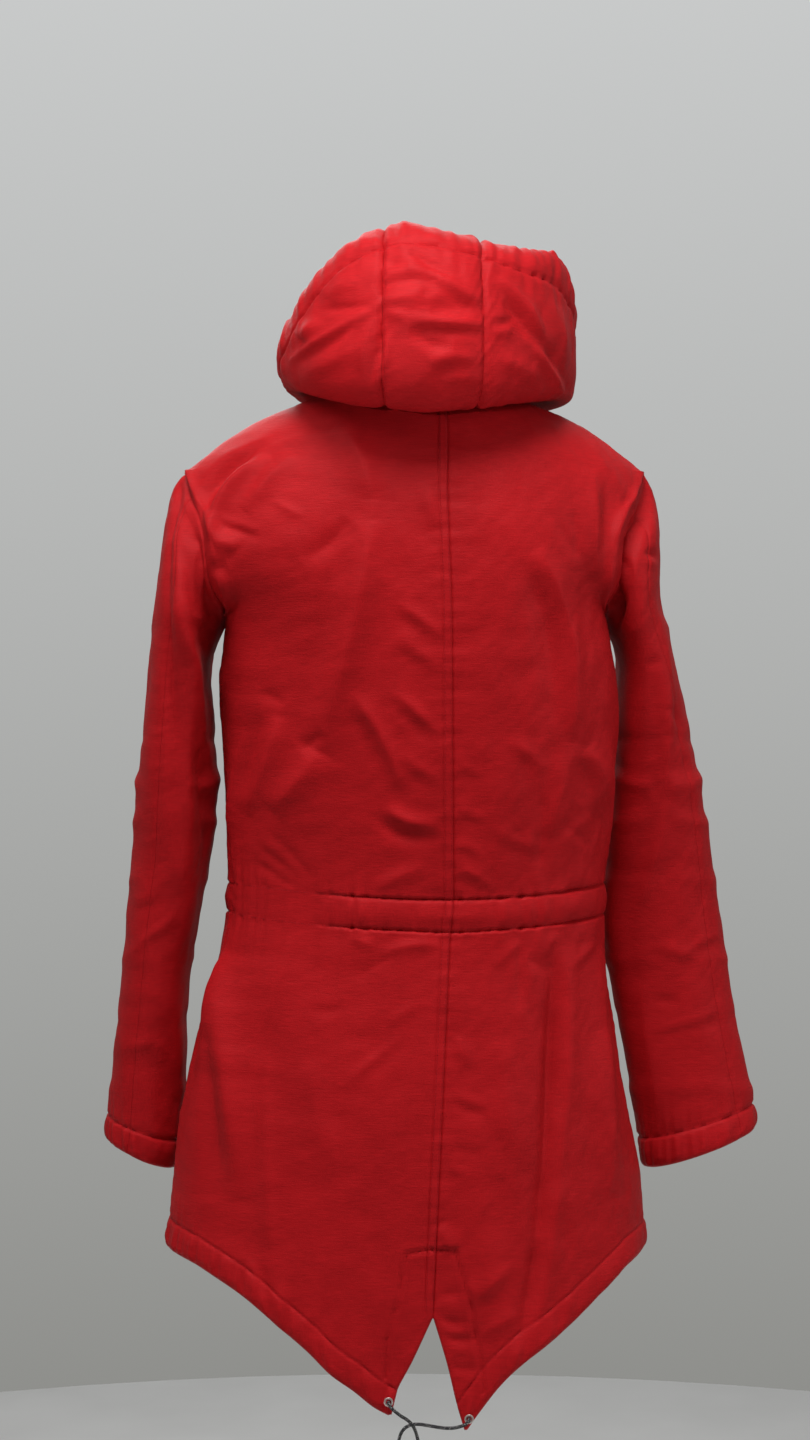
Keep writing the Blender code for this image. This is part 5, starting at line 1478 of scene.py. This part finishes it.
# %% Where the stitches run
ZIP_STITCHES_IN, HOOD_STITCHES_IN = 0.0055, 0.0035      # from the front's edge, and from a hood seam
stitch_piece("casing_stitches", [row_line(name, row_at(number)) for name in PANELS
                                 if name in base for number in (3.0, 4.0, 6.0)])
vent_row = row_at(5.0)
FACING_ROWS = 80         # the vent's facing starts this many rows above the vent
stitch_piece("centre_back_stitches",
             [line_beside("back_left", "first", away, np.arange(2, vent_row)) for away in FELL_ROWS]
             + [line_over(name, corners, vent_row - FACING_ROWS) for name, corners in FACING_LINES.items()])
zip_rows = np.arange(2, len(body_rows) - 2)
stitch_piece("zip_stitches", [line_beside("front_left", "last", ZIP_STITCHES_IN, zip_rows),
                              line_beside("front_right", "first", ZIP_STITCHES_IN, zip_rows)])
stitch_piece("sleeve_stitches", [row_line(name, SLEEVE_STEPS) for name in ("sleeve_left", "sleeve_right")])
stitch_piece("hood_stitches", [line_below_rim(RIM_CASING), hood_seam_line(right_seam, HOOD_STITCHES_IN),
                               hood_seam_line(left_seam, -HOOD_STITCHES_IN)])

# %% [markdown]
# ## Zip
# The zip closes the front right up into the hood. Its tape is a woven strip behind the two front
# edges, and its teeth are small moulded blocks that reach from one side over the middle, in turn.
# An array modifier along a curve would bend each tooth, so each is placed whole instead.

# %% Tape and teeth
ZIP_HALF_WIDTH, ZIP_THICKNESS, ZIP_SETBACK = 0.0082, 0.0016, 0.0016
ZIP_TOP_RING, ZIP_END_ROW = 12.0, 6.5
ZIP_POINTS, TAPE_COLUMNS, FIRST_TOOTH = 301, 13, 0.004
TOOTH_PITCH, TOOTH_LENGTH, TOOTH_HEIGHT, TOOTH_DEPTH = 0.0026, 0.0042, 0.00105, 0.0009
TOOTH_OVERLAP = 0.62                  # the share of a tooth that lies on its own side of the middle
SLIDER_LOW, SLIDER_TOP = -0.012, 0.0  # the slider hides the teeth between these heights
ACROSS = np.array((1.0, 0.0, 0.0))
top_row = int(np.searchsorted(-hood_rings[::-1], -ZIP_TOP_RING))
hood_middle = (base["hood"][top_row:, 0] + base["hood"][top_row:, -1]) / 2
front_middle = (base["front_left"][:, -1] + base["front_right"][:, 0]) / 2
zip_middle = even_points(np.concatenate([hood_middle, front_middle[1:row_at(ZIP_END_ROW) + 1]]), ZIP_POINTS)
zip_ways = unit(np.cross(ACROSS, np.gradient(zip_middle, axis=0)))
zip_ways *= np.where(zip_ways[:, 1:2] > 0, -1.0, 1.0)
tape_u = np.linspace(1, -1, TAPE_COLUMNS)
tape_face = zip_middle[:, None] + tape_u[:, None] * ZIP_HALF_WIDTH * ACROSS - ZIP_SETBACK * zip_ways[:, None]
tape_back = tape_face - ZIP_THICKNESS * zip_ways[:, None]
tape_index = np.arange(tape_face.shape[0] * tape_face.shape[1]).reshape(tape_face.shape[:2])
shift = tape_index.size
border = np.concatenate([tape_index[-1, :-1], tape_index[:0:-1, -1],
                         tape_index[0, :0:-1], tape_index[:-1, 0]])
after = np.roll(border, -1)
tape_faces = np.concatenate([grid_quads(tape_index)[:, ::-1], grid_quads(tape_index) + shift,
                             np.stack([border, border + shift, after + shift, after], axis=-1)]).tolist()
zip_reach = reach_along(zip_middle)
tape_map = np.stack(np.broadcast_arrays(tape_u * ZIP_HALF_WIDTH, zip_reach[:, None]), axis=-1)
tape = mesh_piece("zip_tape_cloth", np.concatenate([tape_face.reshape(-1, 3), tape_back.reshape(-1, 3)]),
                  tape_faces, tape_look, np.tile(tape_map.reshape(-1, 2), (2, 1)))
tape_length = float(zip_reach[-1])
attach(tape, "jacket")
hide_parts("zip_tape")


def tooth():
    """A block with a rounded, waisted nose: rings of four corners at five places along it."""
    stations = ((0.0, 1.0, 0.9), (0.55, 1.0, 1.0), (0.70, 0.75, 0.9), (0.88, 1.05, 0.9), (1.0, 0.6, 0.6))
    corners = ((1, 1), (1, -1), (-1, -1), (-1, 1))
    rings = [(length, high * a / 2, deep * b / 2) for length, high, deep in stations for a, b in corners]
    faces = [(4 * ring + a, 4 * ring + b, 4 * ring + 4 + b, 4 * ring + 4 + a)
             for ring in range(len(stations) - 1) for a, b in ((0, 1), (1, 2), (2, 3), (3, 0))]
    return np.array(rings), np.array(faces + [(3, 2, 1, 0), (16, 17, 18, 19)])


tooth_points, tooth_faces = tooth()
tooth_places = np.arange(FIRST_TOOTH, tape_length - FIRST_TOOTH, TOOTH_PITCH / 2)
place = at_reach(tooth_places, zip_reach, zip_middle)
front_way = unit(at_reach(tooth_places, zip_reach, zip_ways))
down_way = unit(np.cross(front_way, ACROSS))
side_sign = np.where(np.arange(len(place)) % 2 == 0, 1.0, -1.0)[:, None, None]
kept = ~((place[:, 2] > SLIDER_LOW) & (place[:, 2] < SLIDER_TOP))
across_tooth = (TOOTH_OVERLAP - tooth_points[:, 0]) * TOOTH_LENGTH
teeth = (place[:, None] + side_sign * across_tooth[:, None] * ACROSS
         + tooth_points[:, 1:2] * TOOTH_HEIGHT * down_way[:, None]
         + (tooth_points[:, 2:] * TOOTH_DEPTH - ZIP_SETBACK + TOOTH_DEPTH / 2) * front_way[:, None])[kept]
teeth_faces = (tooth_faces + len(tooth_points) * np.arange(len(teeth))[:, None, None]).reshape(-1, 4)
teeth_piece = mesh_piece("zip_teeth_rows", teeth.reshape(-1, 3), teeth_faces.tolist(), teeth_look)
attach(teeth_piece, "jacket")
print(f"zip: {tape_length * 100:.0f} cm of tape, {len(teeth)} teeth")

# %% [markdown]
# ## Right way out
# A shape made of rings can come out inside out. Each closed mesh here has its faces turned outward
# by Blender before anything else is done with it.

# %% Turn faces outward
import bmesh

for piece in bpy.data.objects:
    if piece.type == "MESH" and piece.name not in frame["nodes"]:
        work = bmesh.new()
        work.from_mesh(piece.data)
        bmesh.ops.recalc_face_normals(work, faces=work.faces)
        work.to_mesh(piece.data)
        work.free()

# %% [markdown]
# # Finishes
# The shell is a dense polyester twill with a soft satin sheen: fine uneven ribs run across it, and
# the dye takes a little unevenly. Those are patterns on Object coordinates, so they hold still on
# the cloth from every side. A pattern that several finishes share is a node group with named inputs.

# %% Helpers for node trees
def plug(tree, value, socket):
    """Gives a socket a number or a colour, or links it to a (node, output) pair."""
    if isinstance(value, tuple) and isinstance(value[0], bpy.types.Node):
        tree.links.new(value[0].outputs[value[1]], socket)
    else:
        socket.default_value = value


def node(tree, kind, **settings):
    """A node with its inputs and settings filled in by name, with _ for a space."""
    made = tree.nodes.new("ShaderNode" + kind)
    for name, value in settings.items():
        label = name.replace("_", " ")
        if label in made.inputs:
            plug(tree, value, made.inputs[label])
        else:
            setattr(made, name, value)
    return made


def maths(tree, operation, *values):
    """A Math node of numbers or (node, output) pairs, as a pair itself."""
    made = node(tree, "Math", operation=operation)
    for value, socket in zip(values, made.inputs):
        plug(tree, value, socket)
    return made, 0


def blend(tree, share, first, second, way="MIX"):
    """A Mix node for colours, as a (node, output) pair. Its colour sockets are 6, 7 and 2."""
    made = node(tree, "Mix", data_type="RGBA", blend_type=way)
    for value, number in ((share, 0), (first, 6), (second, 7)):
        plug(tree, value, made.inputs[number])
    return made, 2


def raised(tree, height, strength, distance):
    """A Bump node on a height, as a (node, output) pair."""
    return node(tree, "Bump", Height=height, Strength=strength, Distance=distance), "Normal"


def group(name, inputs, outputs):
    """An empty node group with named number inputs and named number outputs."""
    tree = bpy.data.node_groups.new(name, "ShaderNodeTree")
    for way, labels in (("INPUT", inputs), ("OUTPUT", outputs)):
        for label in labels:
            made = tree.interface.new_socket(name=label, in_out=way, socket_type="NodeSocketFloat")
            if way == "INPUT":
                made.default_value = inputs[label]
    return tree, tree.nodes.new("NodeGroupInput"), tree.nodes.new("NodeGroupOutput")


def use_group(tree, shared, label, value):
    """A node that holds a shared group, with one of its inputs set."""
    made = tree.nodes.new("ShaderNodeGroup")
    made.node_tree = shared
    made.inputs[label].default_value = value
    return made


def finish_shader(made, **inputs):
    """Fills the inputs of a material's shader by name, with _ for a space."""
    shader = made.node_tree.nodes["Principled BSDF"]
    for name, value in inputs.items():
        plug(made.node_tree, value, shader.inputs[name.replace("_", " ")])

# %% Ribbed cloth group: height and shade of fine uneven ribs
ribs, rib_in, rib_out = group("ribbed_cloth", {"Rib Scale": 900.0, "Mottle Scale": 18.0}, ("Height", "Shade"))
on_cloth = node(ribs, "TexCoord"), "Object"
along_ribs = node(ribs, "Mapping", Vector=on_cloth, Scale=(0.11, 0.11, 1.0)), "Vector"
rib = node(ribs, "TexNoise", Vector=along_ribs, Scale=(rib_in, "Rib Scale"), Detail=2.0, Roughness=0.6), "Fac"
fibre = node(ribs, "TexNoise", Vector=on_cloth, Scale=1500.0, Detail=1.0), "Fac"
mottle = node(ribs, "TexNoise", Vector=on_cloth, Scale=(rib_in, "Mottle Scale"), Detail=3.0,
              Roughness=0.55), "Fac"
plug(ribs, maths(ribs, "MULTIPLY_ADD", rib, 0.8, fibre), rib_out.inputs["Height"])
rib_shade = maths(ribs, "MULTIPLY_ADD", rib, 0.50, 0.58)
mottle_shade = maths(ribs, "MULTIPLY_ADD", mottle, 0.30, 0.02)
plug(ribs, maths(ribs, "ADD", rib_shade, mottle_shade), rib_out.inputs["Shade"])

# %% Shell, lining and thread
def cloth_finish(made, colour, roughness, sheen, bump, rib_scale):
    """Ribbed cloth: the ribs' shade over the dye's colour, and their height as a fine bump."""
    tree = made.node_tree
    weave = use_group(tree, ribs, "Rib Scale", rib_scale)
    finish_shader(made, Roughness=roughness, Sheen_Weight=sheen, Sheen_Roughness=0.45,
                  Sheen_Tint=(1.0, 0.30, 0.28, 1.0), Specular_IOR_Level=0.16,
                  Specular_Tint=(1.0, 0.38, 0.40, 1.0),
                  Base_Color=blend(tree, 1.0, (*colour, 1.0), (weave, "Shade"), "MULTIPLY"),
                  Normal=raised(tree, (weave, "Height"), bump, 0.0004))


cloth_finish(shell_look, (0.42, 0.0080, 0.0110), 0.52, 0.02, 0.65, 900.0)
cloth_finish(lining_look, (0.24, 0.006, 0.010), 0.70, 0.04, 0.20, 1400.0)
cloth_finish(thread_look, (0.34, 0.008, 0.013), 0.55, 0.05, 0.30, 2400.0)

# %% Zip tape: a herringbone along its own map
tree = tape_look.node_tree
parts = node(tree, "SeparateXYZ", Vector=(node(tree, "UVMap", uv_map="map"), "UV"))
slant = maths(tree, "ADD", (parts, "Y"), maths(tree, "ABSOLUTE", (parts, "X")))
twill = maths(tree, "SINE", maths(tree, "MULTIPLY", slant, 9000.0))
tone = maths(tree, "MULTIPLY_ADD", twill, 0.14, 0.86)
finish_shader(tape_look, Roughness=0.75, Normal=raised(tree, twill, 0.4, 0.0003),
              Base_Color=blend(tree, 1.0, (0.36, 0.012, 0.020, 1.0), tone, "MULTIPLY"))

# %% Braided cord: two crossing helices of strands with pale flecks
STRANDS_ROUND, STRANDS_ALONG = 4.0, 1.6
tree = cord_look.node_tree
cord_uv = node(tree, "UVMap", uv_map="map"), "UV"
parts = node(tree, "SeparateXYZ", Vector=cord_uv)
turns = maths(tree, "MULTIPLY", (parts, "X"), STRANDS_ROUND)
rise = maths(tree, "MULTIPLY", (parts, "Y"), STRANDS_ALONG)
left_wave, right_wave = (
    maths(tree, "SINE", maths(tree, "MULTIPLY", maths(tree, way, turns, rise), 2 * np.pi))
    for way in ("ADD", "SUBTRACT"))
plait = maths(tree, "MULTIPLY", left_wave, right_wave)
fleck_place = node(tree, "Mapping", Vector=cord_uv, Scale=(STRANDS_ROUND, STRANDS_ALONG, 1.0)), "Vector"
flecks = node(tree, "TexNoise", Vector=fleck_place, Scale=1.9, Detail=0.0), "Fac"
fleck_share = maths(tree, "MULTIPLY", maths(tree, "GREATER_THAN", flecks, 0.60),
                    maths(tree, "GREATER_THAN", plait, 0.05))
finish_shader(cord_look, Roughness=0.72, Normal=raised(tree, plait, 0.7, 0.0004),
              Base_Color=blend(tree, fleck_share, (0.018, 0.018, 0.021, 1.0), (0.62, 0.60, 0.58, 1.0)))

# %% Metal group: fine brushing and worn, paler spots
worn, worn_in, worn_out = group("worn_metal", {"Wear": 0.5}, ("Wear Mask", "Roughness", "Height"))
on_metal = node(worn, "TexCoord"), "Object"
scratch = node(worn, "TexNoise", Vector=on_metal, Scale=900.0, Detail=3.0), "Fac"
patch = node(worn, "TexNoise", Vector=on_metal, Scale=160.0, Detail=2.0), "Fac"
mask = maths(worn, "MULTIPLY", maths(worn, "SUBTRACT", patch, 0.35), (worn_in, "Wear"))
plug(worn, mask, worn_out.inputs["Wear Mask"])
plug(worn, maths(worn, "MULTIPLY_ADD", scratch, 0.22, 0.22), worn_out.inputs["Roughness"])
plug(worn, scratch, worn_out.inputs["Height"])


def metal_finish(made, colour, pale, wear, metallic):
    """Plated metal: its colour mixed to a paler one where it is rubbed, with fine scratches."""
    tree = made.node_tree
    rubbed = use_group(tree, worn, "Wear", wear)
    finish_shader(made, Metallic=metallic, Roughness=(rubbed, "Roughness"),
                  Base_Color=blend(tree, (rubbed, "Wear Mask"), (*colour, 1.0), (*pale, 1.0)),
                  Normal=raised(tree, (rubbed, "Height"), 0.15, 0.0001))


metal_finish(metal_look, (0.60, 0.59, 0.58), (0.80, 0.79, 0.77), 0.9, 1.0)
metal_finish(eyelet_look, (0.78, 0.66, 0.62), (0.92, 0.86, 0.84), 0.8, 0.85)
metal_finish(teeth_look, (0.55, 0.54, 0.53), (0.75, 0.74, 0.72), 0.9, 1.0)
SOLID_LOOKS = {"zip_slider": metal_look, "zip_pull": metal_look,
               "eyelet_left": eyelet_look, "eyelet_right": eyelet_look}
for name, finish in SOLID_LOOKS.items():
    for slot in frame["nodes"][name].material_slots:
        slot.material = finish
print("finishes:", ", ".join(sorted({finish.name for finish in SOLID_LOOKS.values()} | {shell_look.name})))

# %% [markdown]
# # Room and light
# A pale round floor, a pale world and large soft lamps, the main one high behind the coat, so that
# shoulders and the hood's top are brightest and the lower back falls into soft shade.

# %% Floor, lamps and world
FLOOR_HEIGHT, FLOOR_RADIUS, FLOOR_SIDES = -1.45, 2.17, 96
angle = np.linspace(0, 2 * np.pi, FLOOR_SIDES, endpoint=False)
floor_points = np.stack([FLOOR_RADIUS * np.cos(angle), FLOOR_RADIUS * np.sin(angle),
                         np.full(FLOOR_SIDES, FLOOR_HEIGHT)], axis=-1)
floor_look = look("pale_floor")
mesh_piece("floor", floor_points, [list(range(FLOOR_SIDES))], floor_look)
tree = floor_look.node_tree
grain = node(tree, "TexNoise", Vector=(node(tree, "TexCoord"), "Object"), Scale=6.0, Detail=4.0)
finish_shader(floor_look, Roughness=0.8,
              Base_Color=blend(tree, (grain, "Fac"), (0.52, 0.52, 0.51, 1.0), (0.60, 0.60, 0.59, 1.0)))


def lamp(name, place, aim, watts, size=None, beam=None):
    """A lamp turned to shine on an aim: a soft square of a size, or a spot with a beam's angle."""
    light = bpy.data.lights.new(name, "SPOT" if beam else "AREA")
    light.energy = watts
    if beam:
        light.spot_size, light.spot_blend = float(np.radians(beam)), 1.0
    else:
        light.size = size
    made = bpy.data.objects.new(name, light)
    made.location = place
    made.rotation_euler = (Vector(aim) - Vector(place)).to_track_quat("-Z", "Y").to_euler()
    bpy.context.scene.collection.objects.link(made)


lamp("high_lamp", (0.1, 1.0, 1.65), (0, 0.05, -0.15), 47, size=1.0)
lamp("left_lamp", (1.4, 0.9, 1.1), (0, 0.05, 0.0), 11, size=0.9)
lamp("right_lamp", (-2.0, 1.0, 0.3), (0, 0, -0.4), 11, size=0.8)
lamp("front_lamp", (0.3, -2.0, 1.2), (0, 0, -0.3), 26, size=1.6)
lamp("hood_lamp", (0.3, 1.3, -0.12), (0, 0.1, 0.125), 24, beam=21)
world = bpy.data.worlds.new("pale_room")
world.use_nodes = True
bpy.context.scene.world = world
tree = world.node_tree
sky_parts = node(tree, "SeparateXYZ", Vector=(node(tree, "TexCoord"), "Generated"))
ramp = node(tree, "ValToRGB", Fac=maths(tree, "MULTIPLY_ADD", (sky_parts, "Z"), 0.5, 0.5))
for stop, position, colour in zip(ramp.color_ramp.elements, (0.34, 0.66),
                                  ((0.24, 0.24, 0.225, 1.0), (0.60, 0.61, 0.61, 1.0))):
    stop.position, stop.color = position, colour
# The camera sees the room as it is, and the cloth gets a dimmer light from it.
strength = maths(tree, "MULTIPLY_ADD", (node(tree, "LightPath"), "Is Camera Ray"), 0.64, 0.36)
backdrop = tree.nodes["Background"]
plug(tree, (ramp, "Color"), backdrop.inputs["Color"])
plug(tree, strength, backdrop.inputs["Strength"])
bpy.context.scene.view_settings.view_transform = "Standard"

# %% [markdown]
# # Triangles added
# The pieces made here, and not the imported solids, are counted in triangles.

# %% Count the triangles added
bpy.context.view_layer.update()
total = sum(len(polygon.vertices) - 2 for thing in bpy.data.objects
            if thing.type == "MESH" and thing.name not in frame["nodes"] for polygon in thing.data.polygons)
print(f"{total} triangles added")
